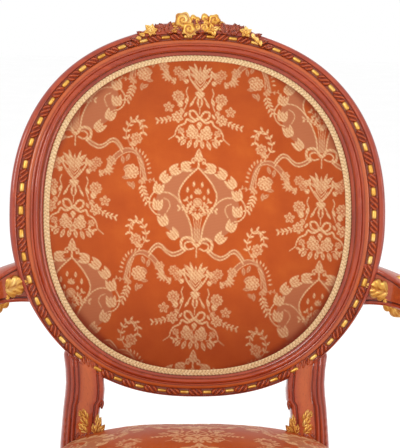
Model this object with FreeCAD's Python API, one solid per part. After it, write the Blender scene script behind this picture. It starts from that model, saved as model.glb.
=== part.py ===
"""Medallion-back fauteuil: carved and gilded show-wood frame, hollow oval back, open arms and stuffed seat.

Millimetres, +Z up, the sitter faces -Y, and the floor is z = 0 under the middle of the chair.
The back is drawn on the bench first: x across, y up the back and z out of its front. Every point of it
is pushed forward by hollow(x), and hang_back() then leans the drawing and lifts it over the seat.
"""

import FreeCAD
import Part

import math
import os

from FreeCAD import Matrix, Rotation, Vector

# Seat frame
SEAT_RAIL_TOP = 390.0
SHOW_WOOD_DROP = 24.0
RAIL_HEIGHT = 68.0
RAIL_THICKNESS = 28.0
FRONT_WIDTH = 580.0
REAR_WIDTH = 378.0
FRAME_DEPTH = 505.0
FRONT_BOW = 20.0
SIDE_BOW = 7.0
REAR_BOW = 8.0
TACKING_REBATE = 4.0
FRONT_BLOCK = 54.0
REAR_BLOCK_WIDTH = 62.0
REAR_BLOCK_DEPTH = 50.0
BLOCK_HEIGHT = 80.0
PANEL_MARGIN = 8.0
PANEL_DEPTH = 2.0
TENON_THICKNESS = 11.0
TENON_HEIGHT = 36.0
TENON_LENGTH = 22.0
CORNER_BLOCK_REACH = 56.0
CORNER_BLOCK_HEIGHT = 40.0
NAIL_WIDTH = 3.5
NAIL_HEAD_WIDTH = 8.0
NAIL_HEAD_HEIGHT = 2.0
NAIL_LENGTH = 44.0

# Turned legs
LEG_TOP_RADIUS = 21.0
LEG_ANKLE_RADIUS = 12.0
COLLAR_RADIUS = 25.5
COLLAR_HEIGHT = 22.0
FOOT_HEIGHT = 34.0
FLUTES = 12
FLUTE_DEPTH = 2.4
REAR_LEG_RAKE = 9.0
GLIDE_HEIGHT = 4.0
GLIDE_RADIUS = 9.0
ROSETTE_RADIUS = 16.0
ROSETTE_HEIGHT = 6.0

# Medallion back
BACK_RAKE = 12.0
MEDALLION_HEIGHT = 738.0
SIGHT_HALF_WIDTH = 221.0
SIGHT_HALF_HEIGHT = 235.0
SIGHT_SQUARENESS = 2.3
HOLLOW_RADIUS = 900.0
MOULDING_WIDTH = 47.0
MOULDING_HEIGHT = 16.5
NARROWEST_SHARE = 0.76
BACK_THICKNESS = 20.0
TACKING_LEDGE = 12.0
LEDGE_FRONT = 1.0
LEDGE_REAR = -12.0
CREST_JOINT = 40.0
CHANNEL_INSIDE = 24.5
CHANNEL_OUTSIDE = 37.5
CHANNEL_FLOOR = 7.0
STICKS_PER_SIDE = 25
STICK_LENGTH = 17.0
STICK_RADIUS = 3.3
RIBBON_WIDTH = 9.0
RIBBON_LENGTH = 9.0
RIBBON_SLANT = 58.0
TONGUE_WIDTH = 24.0
TONGUE_THICKNESS = 8.0
TONGUE_LENGTH = 40.0
UPRIGHT_WIDTH = 52.0

# Arms
ARM_ROOT_HEIGHT = 646.0
ARM_ROOT_DEEP = 60.0
ARM_FALL = 14.0
ARM_WIDTH = 34.0
ARM_HEIGHT = 30.0
ARM_LENGTH = 385.0
ARM_SPREAD = 307.0
ARM_TURN = 78.0
SCROLL_RADIUS = 23.0
POST_SETBACK = 168.0
POST_WIDTH = 32.0
POST_DEPTH = 38.0
POST_SWEEP = 26.0
PAD_LENGTH = 190.0
PAD_WIDTH = 46.0
PAD_CROWN = 17.0

# Carving
CREST_RISE = 13.0
CREST_WIDTH = 176.0
ROSE_RADIUS = 12.0
FLOWER_RADIUS = 8.0
LEAF_THICKNESS = 4.5

# Upholstery
STRAP_WIDTH = 52.0
STRAP_THICKNESS = 1.5
STRAPS = 4
BACK_STRAPS = 3
HESSIAN_THICKNESS = 1.0
COVER_THICKNESS = 1.6
GIMP_WIDTH = 11.5
GIMP_THICKNESS = 2.2
BACK_CROWN = 24.0
BACK_EDGE = 5.5
SEAT_EDGE_RISE = 24.0
SEAT_CROWN = 60.0
SEAT_BULGE = 3.0
PANEL_THICKNESS = 5.5
DUST_COVER_THICKNESS = 1.0
FIT = 0.4
SEATING = 0.05

HALF_DEPTH = FRAME_DEPTH / 2
SHOW_WOOD_TOP = SEAT_RAIL_TOP - SHOW_WOOD_DROP
RAIL_BOTTOM = SEAT_RAIL_TOP - RAIL_HEIGHT
BLOCK_BOTTOM = SEAT_RAIL_TOP - BLOCK_HEIGHT
FRONT_LEG_X = (FRONT_WIDTH - FRONT_BLOCK) / 2
FRONT_LEG_Y = (FRONT_BLOCK - FRAME_DEPTH) / 2
REAR_LEG_X = (REAR_WIDTH - REAR_BLOCK_WIDTH) / 2
REAR_LEG_Y = (FRAME_DEPTH - REAR_BLOCK_DEPTH) / 2
RAKE = math.radians(BACK_RAKE)
BACK_BEHIND = REAR_LEG_Y + (MEDALLION_HEIGHT - SEAT_RAIL_TOP) * math.tan(RAKE)
WEBBING_TOP = SEAT_RAIL_TOP + 2 * STRAP_THICKNESS
HESSIAN_TOP = WEBBING_TOP + HESSIAN_THICKNESS
PARTS = {}


def mirrored(shape):
    """The same piece for the other side of the chair."""
    return shape.mirror(Vector(0, 0, 0), Vector(1, 0, 0))


def pair(name, shape):
    PARTS["right_" + name] = shape
    PARTS["left_" + name] = mirrored(shape)


def both(shapes):
    """Loose pieces of the right side and their mirrored partners, as one list."""
    return list(shapes) + [mirrored(shape) for shape in shapes]


def group(shapes):
    """Identical small pieces of one node, each still a solid by itself."""
    solids = []
    for shape in shapes:
        solids.extend(shape.Solids)
    return Part.makeCompound(solids)


def largest(shape):
    """The piece itself, without the offcuts that scribing it to its neighbours leaves."""
    return max(shape.Solids, key=lambda solid: solid.Volume)


def box(x0, x1, y0, y1, z0, z1):
    return Part.makeBox(x1 - x0, y1 - y0, z1 - z0, Vector(x0, y0, z0))


def centred_box(middle, width, depth, height):
    corner = middle - Vector(width / 2, depth / 2, height / 2)
    return Part.makeBox(width, depth, height, corner)


def outline(points):
    """A closed wire. A point given as a pair (middle, end) is reached by an arc through the middle."""
    edges = []
    here = points[0]
    for step in points[1:]:
        if isinstance(step, tuple):
            middle, end = step
            edges.append(Part.Arc(here, middle, end).toShape())
        else:
            end = step
            edges.append(Part.LineSegment(here, end).toShape())
        here = end
    if (here - points[0]).Length > 1e-6:
        edges.append(Part.LineSegment(here, points[0]).toShape())
    return Part.Wire(edges)


def prism(wire, rise):
    return Part.Face(wire).extrude(Vector(0, 0, rise))


def revolved(profile):
    """A turned piece about Z from (radius, height) pairs, listed from its foot up."""
    points = [Vector(0, 0, profile[0][1])]
    points += [Vector(radius, 0, height) for radius, height in profile]
    points.append(Vector(0, 0, profile[-1][1]))
    return Part.Face(outline(points)).revolve(Vector(0, 0, 0), Vector(0, 0, 1), 360)


def arc_points(middle, radius, start, end, steps):
    """Points of an arc in a profile, given by its middle, its radius and two angles in degrees."""
    points = []
    for i in range(steps + 1):
        angle = math.radians(start + (end - start) * i / steps)
        points.append((middle[0] + radius * math.cos(angle), middle[1] + radius * math.sin(angle)))
    return points


def frame_on(origin, along, across):
    """The placement that turns local x to one direction, local y towards a second, and moves to a point."""
    x = Vector(along).normalize()
    z = x.cross(across).normalize()
    y = z.cross(x)
    turn = Matrix(x.x, y.x, z.x, origin.x, x.y, y.y, z.y, origin.y, x.z, y.z, z.z, origin.z, 0, 0, 0, 1)
    return turn


# The medallion's geometry, on the bench


def hollow(x):
    """How far the concave back stands forward of its middle at x."""
    return HOLLOW_RADIUS - math.sqrt(HOLLOW_RADIUS**2 - x * x)


def sight_point(angle):
    """The sight edge, a superellipse, at a polar angle: its point and its outward normal."""
    c, s, n = math.cos(angle), math.sin(angle), SIGHT_SQUARENESS
    spread = (abs(c) / SIGHT_HALF_WIDTH) ** n + (abs(s) / SIGHT_HALF_HEIGHT) ** n
    radius = spread ** (-1 / n)
    x, y = radius * c, radius * s
    nx = math.copysign((abs(x) / SIGHT_HALF_WIDTH) ** (n - 1) / SIGHT_HALF_WIDTH, x)
    ny = math.copysign((abs(y) / SIGHT_HALF_HEIGHT) ** (n - 1) / SIGHT_HALF_HEIGHT, y)
    length = math.hypot(nx, ny)
    return Vector(x, y, 0), Vector(nx / length, ny / length, 0)


def moulding_share(angle):
    """The moulding narrows from the sides of the oval to its top and bottom."""
    return NARROWEST_SHARE + (1 - NARROWEST_SHARE) * math.cos(angle) ** 2


def on_moulding(angle, out, height):
    """A point of the moulding: out from the sight edge, and height in front of the hollow of the back."""
    point, normal = sight_point(angle)
    share = moulding_share(angle) if out > 0 else 1.0
    flat = point + normal * (out * share)
    return Vector(flat.x, flat.y, height + hollow(flat.x))


def lower_angle(passed):
    """Going down the right side of the oval, the first polar angle at which a test holds."""
    low, high = -math.pi / 2, 0.0
    while high - low > 1e-6:
        middle = (low + high) / 2
        if passed(middle):
            low = middle
        else:
            high = middle
    return low


def angle_at_x(x, out):
    return lower_angle(lambda angle: on_moulding(angle, out, 0).x < x)


def moulding_profile():
    """Rebates for cover and outside panel, cove, bead, ogee, ribbon channel and the rounded outer side."""
    top = MOULDING_HEIGHT
    edge = MOULDING_WIDTH
    return [
        (-TACKING_LEDGE, LEDGE_REAR),
        (-TACKING_LEDGE, LEDGE_FRONT),
        (0, LEDGE_FRONT),
        (0, CHANNEL_FLOOR),
        (3.5, CHANNEL_FLOOR + 1.5),
        (6, top - 4.5),
        *arc_points((10.3, top - 4), 4, 165, 15, 3),
        (16.5, CHANNEL_FLOOR + 4),
        (CHANNEL_INSIDE - 1, CHANNEL_FLOOR + 3),
        (CHANNEL_INSIDE, CHANNEL_FLOOR),
        (CHANNEL_OUTSIDE, CHANNEL_FLOOR),
        (CHANNEL_OUTSIDE + 1, CHANNEL_FLOOR + 2.5),
        *arc_points((edge - 8, CHANNEL_FLOOR - 5.5), 8, 80, 0, 2),
        (edge, -12),
        (edge - 5, -BACK_THICKNESS),
        (0, -BACK_THICKNESS),
        (0, LEDGE_REAR),
    ]


def moulding_arc(start, end, sections):
    """One length of the medallion's moulding between two polar angles."""
    wires = []
    for i in range(sections):
        angle = start + (end - start) * i / (sections - 1)
        corners = [on_moulding(angle, out, height) for out, height in moulding_profile()]
        wires.append(Part.makePolygon(corners + corners[:1]))
    return Part.makeLoft(wires, True, False)


def sight_prism(out):
    """The oval at a distance out of the sight edge, as a prism through the whole back."""
    points = [on_moulding(2 * math.pi * i / 40, out, 0) for i in range(40)]
    curve = Part.BSplineCurve()
    curve.interpolate([Vector(p.x, p.y, -60) for p in points], PeriodicFlag=True)
    return prism(Part.Wire(curve.toShape()), 180)


def hollow_slab(low, high):
    """The space between two heights over the hollow of the back."""
    reach = SIGHT_HALF_WIDTH + MOULDING_WIDTH
    top = SIGHT_HALF_HEIGHT + MOULDING_WIDTH
    rise = hollow(reach)
    section = outline(
        [
            Vector(-reach, -top, rise + low),
            (Vector(0, -top, low), Vector(reach, -top, rise + low)),
            Vector(reach, -top, rise + high),
            (Vector(0, -top, high), Vector(-reach, -top, rise + high)),
        ]
    )
    return Part.Face(section).extrude(Vector(0, 2 * top, 0))


def crowned_block(height_at, half_x, low_y, high_y, depth, count):
    """Everything down to a depth below a smooth surface that a formula gives."""
    rows = []
    for i in range(count):
        x = half_x * (2 * i / (count - 1) - 1)
        row = []
        for j in range(count):
            y = low_y + (high_y - low_y) * j / (count - 1)
            row.append(Vector(x, y, height_at(x, y)))
        rows.append(row)
    surface = Part.BSplineSurface()
    surface.interpolate(rows)
    return surface.toShape().extrude(Vector(0, 0, -depth))


def back_crown(x, y):
    """Tight upholstery: nearly flat in the middle of the oval and rolled down at its edge."""
    n = SIGHT_SQUARENESS
    spread = (abs(x) / SIGHT_HALF_WIDTH) ** n + (abs(y) / SIGHT_HALF_HEIGHT) ** n
    return hollow(x) + BACK_EDGE + BACK_CROWN * (1 - spread)


def hang_back(shape):
    """Leans the bench drawing of the back by its rake and lifts it over the seat."""
    c, s = math.cos(RAKE), math.sin(RAKE)
    place = Matrix(1, 0, 0, 0, 0, s, -c, BACK_BEHIND, 0, c, s, MEDALLION_HEIGHT, 0, 0, 0, 1)
    return shape.transformed(place)


def bench_height(z):
    """How far up the bench drawing a height over the floor lies, in the plane of the back."""
    return (z - MEDALLION_HEIGHT) / math.cos(RAKE)


# The frame of the back

UPRIGHT_MEETS = angle_at_x(REAR_LEG_X, MOULDING_WIDTH / 2)
FOOT_JOINT = angle_at_x(REAR_LEG_X - UPRIGHT_WIDTH / 2, MOULDING_WIDTH) - math.radians(5)
CREST_JOINT_ANGLE = math.radians(CREST_JOINT)


def upright(grow):
    """The stretch between seat and medallion, waisted, with its corners taken off."""
    top = on_moulding(UPRIGHT_MEETS, MOULDING_WIDTH / 2, 0).y + 12
    foot = bench_height(SEAT_RAIL_TOP) - 4
    wires = []
    for share, width, front, back in ((0, 1.08, 12, -24), (0.3, 1, 12, -23), (0.66, 1, 9, -21), (1, 0.9, 5, -19)):
        y = foot + (top - foot) * share
        half = UPRIGHT_WIDTH / 2 * width + grow
        bevel = 6
        high, low = front + grow, back - grow
        corners = []
        for across, height in (
            (-half, low + bevel),
            (-half, high - bevel),
            (-half + bevel, high),
            (half - bevel, high),
            (half, high - bevel),
            (half, low + bevel),
            (half - bevel, low),
            (-half + bevel, low),
        ):
            x = REAR_LEG_X + across
            corners.append(Vector(x, y, height + hollow(x)))
        wires.append(Part.makePolygon(corners + corners[:1]))
    return hang_back(Part.makeLoft(wires, True, False))


def tongue(middle, along, across, slack):
    """A loose tongue glued across a joint, or with slack the slot that takes it."""
    piece = centred_box(Vector(0, 0, 0), TONGUE_LENGTH + slack, TONGUE_WIDTH + slack, TONGUE_THICKNESS + slack)
    return piece.transformed(frame_on(middle, along, across))


def medallion_tongues(slack):
    """One tongue in each of the four joints of the oval."""
    pieces = []
    for angle in (CREST_JOINT_ANGLE, FOOT_JOINT):
        middle = on_moulding(angle, (MOULDING_WIDTH - TACKING_LEDGE) / 2 + 3, -4)
        along = on_moulding(angle + 0.01, 18, 0) - on_moulding(angle - 0.01, 18, 0)
        across = on_moulding(angle, 20, 0) - on_moulding(angle, 16, 0)
        pieces.append(hang_back(tongue(middle, along, across, slack)))
    return both(pieces)


def crest_carving_ground():
    """The low hump of wood over the crest, from which the flowers are carved."""
    top = SIGHT_HALF_HEIGHT + MOULDING_WIDTH * NARROWEST_SHARE
    half = CREST_WIDTH / 2
    end = -on_moulding(angle_at_x(half, MOULDING_WIDTH), MOULDING_WIDTH, 0).y
    behind = -BACK_THICKNESS * 0.7
    hump = outline(
        [
            Vector(-half, end - 14, behind),
            Vector(-half, end - 2, behind),
            (Vector(-half / 2, (top + end) / 2 + 3, behind), Vector(-half / 4, top + CREST_RISE, behind)),
            (Vector(0, top + CREST_RISE + 2, behind), Vector(half / 4, top + CREST_RISE, behind)),
            (Vector(half / 2, (top + end) / 2 + 3, behind), Vector(half, end - 2, behind)),
            Vector(half, end - 14, behind),
        ]
    )
    return prism(hump, BACK_THICKNESS)


# Carved flowers and leaves


def petal_ring(radius, petals, turn, low, high):
    """A ring of petals with rounded tips and deep notches between them, as a flat prism."""
    points = []
    for i in range(petals):
        for step, share in ((-0.5, 0.66), (-0.3, 0.94), (0, 1.04), (0.3, 0.94)):
            angle = math.radians(360 / petals * (i + step) + turn)
            points.append(Vector(radius * share * math.cos(angle), radius * share * math.sin(angle), low))
    return prism(Part.makePolygon(points + points[:1]), high - low)


def flower(radius, petals, height):
    """A carved flower: two rings of petals, the inner one turned by half a petal, round a raised heart."""
    outer = petal_ring(radius, petals, 0, 0, height * 0.5)
    inner = petal_ring(radius * 0.66, petals, 180 / petals, height * 0.4, height * 0.8)
    heart = petal_ring(radius * 0.3, petals, 0, height * 0.7, height)
    return outer.fuse([inner, heart])


def leaf(length, width):
    """A pointed leaf with a raised midrib, lying along x with its stem at the origin."""
    edge = [Vector(0, 0, 0)]
    rib = [Vector(length * share, 0, LEAF_THICKNESS * rise) for share, rise in ((0.2, 0.8), (0.55, 1), (0.8, 0.5))]
    for share, spread in ((0.2, 0.7), (0.45, 1), (0.7, 0.8)):
        edge.append(Vector(length * share, -width / 2 * spread, 0))
    tip = Vector(length, 0, 0)
    far = [Vector(p.x, -p.y, 0) for p in edge[:0:-1]]
    right = edge[1:]
    left = far[::-1]
    corners = [(edge[0], right[0], rib[0]), (edge[0], rib[0], left[0])]
    for side, order in ((right, 1), (left, -1)):
        corners.append((side[0], side[1], rib[0])[::order])
        corners.append((side[1], rib[1], rib[0])[::order])
        corners.append((side[1], side[2], rib[1])[::order])
        corners.append((side[2], rib[2], rib[1])[::order])
        corners.append((side[2], tip, rib[2])[::order])
    rim = edge + [tip] + far
    faces = [Part.Face(Part.makePolygon([*points, points[0]])) for points in corners]
    faces.append(Part.Face(Part.makePolygon(rim + rim[:1])))
    solid = Part.Solid(Part.Shell(faces))
    if solid.Volume < 0:
        solid.reverse()
    return solid


def on_crest(piece, x, rise, height):
    """Puts a carved piece on the crest: across, over the outer edge, and out from the hollow."""
    top = SIGHT_HALF_HEIGHT + MOULDING_WIDTH * NARROWEST_SHARE
    return hang_back(piece.translated(Vector(x, top + rise, height + hollow(x))))


def seated(piece, ground):
    """A carved piece with whatever stands behind it taken out of its back."""
    near = []
    for shape in ground:
        near += [solid for solid in shape.Solids if solid.BoundBox.intersect(piece.BoundBox)]
    return largest(piece.cut(near))


def spread_leaves(blades, place):
    """A spray of leaves from one stem: each blade's own angle, length, width and distance from the stem."""
    pieces = []
    for angle, length, width, out in blades:
        blade = leaf(length, width).translated(Vector(out, 0, 0))
        blade.rotate(Vector(0, 0, 0), Vector(0, 0, 1), angle)
        pieces.append(blade.transformed(place))
    return pieces


def arm_leaves(solid_arm, taken):
    """The acanthus on the front of each arm, with its tip towards the medallion."""
    stations = arm_path()
    stem = (stations[1][0] + stations[2][0]) * 0.5
    along = stations[0][0] - stations[2][0]
    normal = along.cross(Vector(0, 0, 1)).normalize()
    if normal.y > 0:
        normal = normal * -1
    face = stem + normal * (ARM_WIDTH / 2 - 4)
    place = frame_on(face, along, normal.cross(along))
    blades = ((0, 34, 13, 0), (32, 25, 11, -2), (-32, 25, 11, -2), (68, 20, 10, 0), (-68, 20, 10, 0))
    return [largest(blade.cut([solid_arm] + taken)) for blade in spread_leaves(blades, place)]


def upright_leaves(taken):
    """Three lobes of a carved leaf on the foot of each upright, over the seat."""
    x = REAR_LEG_X + 6
    y = bench_height(SEAT_RAIL_TOP) + 74
    place = frame_on(Vector(x, y, 11 + hollow(x)), Vector(0, 1, 0), Vector(-1, 0, 0))
    blades = ((-24, 24, 9, 0), (-24, 22, 8, -14), (-24, 20, 8, -28))
    blades = [hang_back(blade) for blade in spread_leaves(blades, place)]
    return [largest(blade.cut(taken)) for blade in blades]


def crest_flowers(ground):
    """The bouquet: a great rose, a smaller one, buds between leaves, and one flower at each end."""
    great = []
    for share, petals, x, rise in ((1, 5, -26, -4), (0.8, 5, -5, 1), (0.85, 4, 17, -2)):
        great.append(on_crest(flower(ROSE_RADIUS * share, petals, 11 * share), x, rise, 4))
    PARTS["crest_roses"] = group([seated(rose, ground) for rose in great])
    ends = on_crest(flower(FLOWER_RADIUS, 5, 9), CREST_WIDTH / 2 - 18, -14, 6)
    pair("crest_flower", seated(ends, ground))
    leaves = []
    for x, rise, angle, size in ((34, -1, -12, 30), (38, -10, -24, 26)):
        for side in (1, -1):
            blade = leaf(size, 11).rotated(Vector(0, 0, 0), Vector(0, 0, 1), angle if side > 0 else 180 - angle)
            leaves.append(seated(on_crest(blade, side * x, rise, 5), ground))
    PARTS["crest_leaves"] = group(leaves)


# Ribbon and stick


def ribbon_and_stick():
    """Gilded sticks along the channel, and between each two the ribbon that winds round them.

    The ribbon is laid the other way on the left, so that both runs start at the top of the oval.
    """
    stick_line = (CHANNEL_INSIDE + CHANNEL_OUTSIDE) / 2
    angles = []
    lengths = [0.0]
    steps = 400
    for i in range(1, steps + 1):
        here = on_moulding(math.pi / 2 - math.pi * i / steps, stick_line, 0)
        before = on_moulding(math.pi / 2 - math.pi * (i - 1) / steps, stick_line, 0)
        lengths.append(lengths[-1] + (here - before).Length)
    pitch = lengths[-1] / STICKS_PER_SIDE
    for k in range(2 * STICKS_PER_SIDE):
        wanted = pitch * (k + 0.5) / 2
        i = next(n for n, length in enumerate(lengths) if length >= wanted)
        angles.append(math.pi / 2 - math.pi * i / steps)
    r = STICK_RADIUS
    rod = [(-r, 0), (-0.8 * r, 0.62 * r), (-0.3 * r, 0.96 * r), (0.3 * r, 0.96 * r), (0.8 * r, 0.62 * r), (r, 0)]
    w = RIBBON_WIDTH / 2
    high = 0.9 * STICK_RADIUS
    fold = [(-w, 0), (-0.8 * w, 0.8 * high), (-0.4 * w, high), (0, 0.5 * high)]
    fold += [(-y, z) for y, z in fold[-2::-1]]
    sticks = []
    wraps = []
    for k, angle in enumerate(angles):
        middle = on_moulding(angle, stick_line, CHANNEL_FLOOR + SEATING)
        along = on_moulding(angle - 0.02, stick_line, 0) - on_moulding(angle + 0.02, stick_line, 0)
        across = on_moulding(angle, stick_line + 1, 0) - on_moulding(angle, stick_line - 1, 0)
        place = frame_on(middle, along, across)
        if k % 2 == 0:
            profile, length, turn = rod, STICK_LENGTH, 0
        else:
            profile, length, turn = fold, RIBBON_LENGTH * moulding_share(angle), RIBBON_SLANT
        section = [Vector(-length / 2, y * moulding_share(angle), z) for y, z in profile]
        piece = Part.Face(Part.makePolygon(section + section[:1])).extrude(Vector(length, 0, 0))
        piece.rotate(Vector(0, 0, 0), Vector(0, 0, 1), turn)
        (sticks if k % 2 == 0 else wraps).append(hang_back(piece.transformed(place)))
    PARTS["ribbon_sticks"] = group(both(sticks))
    PARTS["ribbon_wraps"] = group(both(wraps))


# Legs and seat frame


def fluted_outline(radius, z):
    """The column's section: flat lands between hollows, each hollow drawn with three chords."""
    points = []
    for i in range(FLUTES):
        for step, cut in ((-0.32, 0), (-0.14, 1), (0.14, 1), (0.32, 0)):
            angle = 2 * math.pi * (i + step) / FLUTES
            reach = radius * (1 - cut * FLUTE_DEPTH / LEG_TOP_RADIUS)
            points.append(Vector(reach * math.cos(angle), reach * math.sin(angle), z))
    return Part.makePolygon(points + points[:1])


def turned_leg(height):
    """A tapered, fluted leg under its block: necking, collar, column, ankle ring and toupie foot."""
    column_top = height - COLLAR_HEIGHT
    collar = COLLAR_RADIUS
    ankle = LEG_ANKLE_RADIUS
    foot = [
        (GLIDE_RADIUS + 1, 0),
        (ankle + 3, 14),
        (ankle, 22),
        (ankle, FOOT_HEIGHT - 8),
        (ankle + 4, FOOT_HEIGHT - 4),
        (ankle + 3, FOOT_HEIGHT),
        (ankle, FOOT_HEIGHT),
    ]
    head = [
        (LEG_TOP_RADIUS - 2, column_top),
        (collar - 1, column_top + 4),
        (collar, column_top + 9),
        (collar - 1, column_top + 14),
        (LEG_TOP_RADIUS - 1, column_top + 16),
        (LEG_TOP_RADIUS - 1, height),
    ]
    ends = fluted_outline(ankle + 1, FOOT_HEIGHT), fluted_outline(LEG_TOP_RADIUS, column_top)
    return Part.makeLoft(list(ends), True, True).fuse([revolved(foot), revolved(head)])


def rosette():
    """A carved patera for the face of a leg block, lying on z = 0."""
    disc = Part.makeCylinder(ROSETTE_RADIUS, ROSETTE_HEIGHT * 0.4)
    petals = petal_ring(ROSETTE_RADIUS * 0.84, 8, 0, ROSETTE_HEIGHT * 0.3, ROSETTE_HEIGHT * 0.8)
    heart = petal_ring(ROSETTE_RADIUS * 0.3, 4, 0, ROSETTE_HEIGHT * 0.7, ROSETTE_HEIGHT)
    return disc.fuse([petals, heart])


def tenon(middle, along_x, slack):
    """A rail's tenon, centred on the shoulder so that half of it is inside the rail."""
    length = 2 * TENON_LENGTH + 2 * slack
    thick = TENON_THICKNESS + slack
    high = TENON_HEIGHT + slack
    if along_x:
        return centred_box(middle, length, thick, high)
    return centred_box(middle, thick, length, high)


TENON_Z = (RAIL_BOTTOM + SHOW_WOOD_TOP) / 2
FRONT_SHOULDER = Vector(FRONT_WIDTH / 2 - FRONT_BLOCK, RAIL_THICKNESS / 2 - HALF_DEPTH, TENON_Z)
SIDE_FRONT_SHOULDER = Vector(FRONT_WIDTH / 2 - RAIL_THICKNESS * 0.6, FRONT_BLOCK - HALF_DEPTH, TENON_Z)
SIDE_REAR_SHOULDER = Vector(REAR_WIDTH / 2 - RAIL_THICKNESS * 0.5, HALF_DEPTH - REAR_BLOCK_DEPTH, TENON_Z)
REAR_SHOULDER = Vector(REAR_WIDTH / 2 - REAR_BLOCK_WIDTH, HALF_DEPTH - RAIL_THICKNESS / 2, TENON_Z)


def seat_plan(inset, z):
    """The show-wood line of the seat from above, bowed in front, at the sides and behind."""
    front, rear = FRONT_WIDTH / 2 - inset, REAR_WIDTH / 2 - inset
    front_y, rear_y = inset - HALF_DEPTH, HALF_DEPTH - inset
    side_middle = Vector((front + rear) / 2 + SIDE_BOW, 0, z)
    rear_arc = Vector(0, rear_y + REAR_BOW, z), Vector(-rear, rear_y, z)
    front_arc = Vector(0, front_y - FRONT_BOW, z), Vector(front, front_y, z)
    return outline(
        [
            Vector(front, front_y, z),
            (side_middle, Vector(rear, rear_y, z)),
            rear_arc,
            (Vector(-side_middle.x, 0, z), Vector(-front, front_y, z)),
            front_arc,
        ]
    )


def seat_ring(inset, thickness, low, high):
    """A band that follows the seat's outline."""
    whole = prism(seat_plan(inset, low), high - low)
    return whole.cut(prism(seat_plan(inset + thickness, low - 1), high - low + 2))


def upper_rebate():
    """What is cut from the top of the rails and blocks so that cover and gimp end flush with the show-wood."""
    return seat_ring(-FRONT_BOW, FRONT_BOW + TACKING_REBATE, SHOW_WOOD_TOP, SEAT_RAIL_TOP + 1)


def front_leg_block():
    x, y = FRONT_LEG_X, FRONT_LEG_Y
    half = FRONT_BLOCK / 2
    block = box(x - half, x + half, y - half, y + half, BLOCK_BOTTOM, SEAT_RAIL_TOP)
    panel = FRONT_BLOCK - 2 * PANEL_MARGIN
    high = SHOW_WOOD_TOP - BLOCK_BOTTOM - 2 * PANEL_MARGIN
    z = (SHOW_WOOD_TOP + BLOCK_BOTTOM) / 2
    sunk = [
        centred_box(Vector(x, y - half, z), panel, 2 * PANEL_DEPTH, high),
        centred_box(Vector(x + half, y, z), 2 * PANEL_DEPTH, panel, high),
    ]
    return block.cut(sunk)


def leg_rosettes():
    """Paterae in the sunk panels of the front blocks, and on the outer faces of the rear ones."""
    z = (SHOW_WOOD_TOP + BLOCK_BOTTOM) / 2
    half = FRONT_BLOCK / 2
    turn_front = Rotation(Vector(1, 0, 0), 90)
    turn_side = Rotation(Vector(0, 1, 0), 90)
    pieces = []
    for place, turn in (
        (Vector(FRONT_LEG_X, FRONT_LEG_Y - half + PANEL_DEPTH, z), turn_front),
        (Vector(FRONT_LEG_X + half - PANEL_DEPTH, FRONT_LEG_Y, z), turn_side),
        (Vector(REAR_WIDTH / 2, REAR_LEG_Y, z), turn_side),
    ):
        piece = rosette()
        piece.Placement = FreeCAD.Placement(place, turn)
        pieces.append(piece)
    PARTS["leg_rosettes"] = group(both(pieces))


def side_rail(post):
    """The right rail, shaped between two lines of the seat's plan, with a tenon at each end."""
    low, high = FRONT_BLOCK - HALF_DEPTH, HALF_DEPTH - REAR_BLOCK_DEPTH
    band = seat_ring(0, RAIL_THICKNESS, RAIL_BOTTOM, SEAT_RAIL_TOP)
    rail = band.common(box(0, FRONT_WIDTH, low, high, RAIL_BOTTOM, SEAT_RAIL_TOP))
    groove = seat_ring(-SIDE_BOW, SIDE_BOW + 1.5, RAIL_BOTTOM + 9, RAIL_BOTTOM + 12)
    rail = rail.cut([upper_rebate(), groove, groove.translated(Vector(0, 0, RAIL_HEIGHT - SHOW_WOOD_DROP - 21))])
    rail = rail.fuse([tenon(SIDE_FRONT_SHOULDER, False, 0), tenon(SIDE_REAR_SHOULDER, False, 0)])
    return rail.cut(post)


def front_rail():
    half = FRONT_WIDTH / 2 - FRONT_BLOCK
    band = seat_ring(0, RAIL_THICKNESS, RAIL_BOTTOM, SEAT_RAIL_TOP)
    rail = band.common(box(-half, half, -FRAME_DEPTH, FRONT_BLOCK - HALF_DEPTH, RAIL_BOTTOM, SEAT_RAIL_TOP))
    groove = seat_ring(-FRONT_BOW, FRONT_BOW + 1.5, RAIL_BOTTOM + 9, RAIL_BOTTOM + 12)
    rail = rail.cut([upper_rebate(), groove, groove.translated(Vector(0, 0, RAIL_HEIGHT - SHOW_WOOD_DROP - 21))])
    return rail.fuse(both([tenon(FRONT_SHOULDER, True, 0)]))


def rear_rail():
    half = REAR_WIDTH / 2 - REAR_BLOCK_WIDTH
    band = seat_ring(0, RAIL_THICKNESS, RAIL_BOTTOM, SEAT_RAIL_TOP)
    rail = band.common(box(-half, half, 0, FRAME_DEPTH, RAIL_BOTTOM, SEAT_RAIL_TOP))
    return rail.cut(upper_rebate()).fuse(both([tenon(REAR_SHOULDER, True, 0)]))


def cut_nail(start, aim):
    """A square cut nail driven from a point along X or Y."""
    across = Vector(1, 1, 1) - Vector(abs(aim.x), abs(aim.y), abs(aim.z))
    shank = across * NAIL_WIDTH + (Vector(1, 1, 1) - across) * NAIL_LENGTH
    head = across * NAIL_HEAD_WIDTH + (Vector(1, 1, 1) - across) * NAIL_HEAD_HEIGHT
    nail = centred_box(start + aim * NAIL_LENGTH / 2, shank.x, shank.y, shank.z)
    return nail.fuse(centred_box(start + aim * NAIL_HEAD_HEIGHT / 2, head.x, head.y, head.z))


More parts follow.
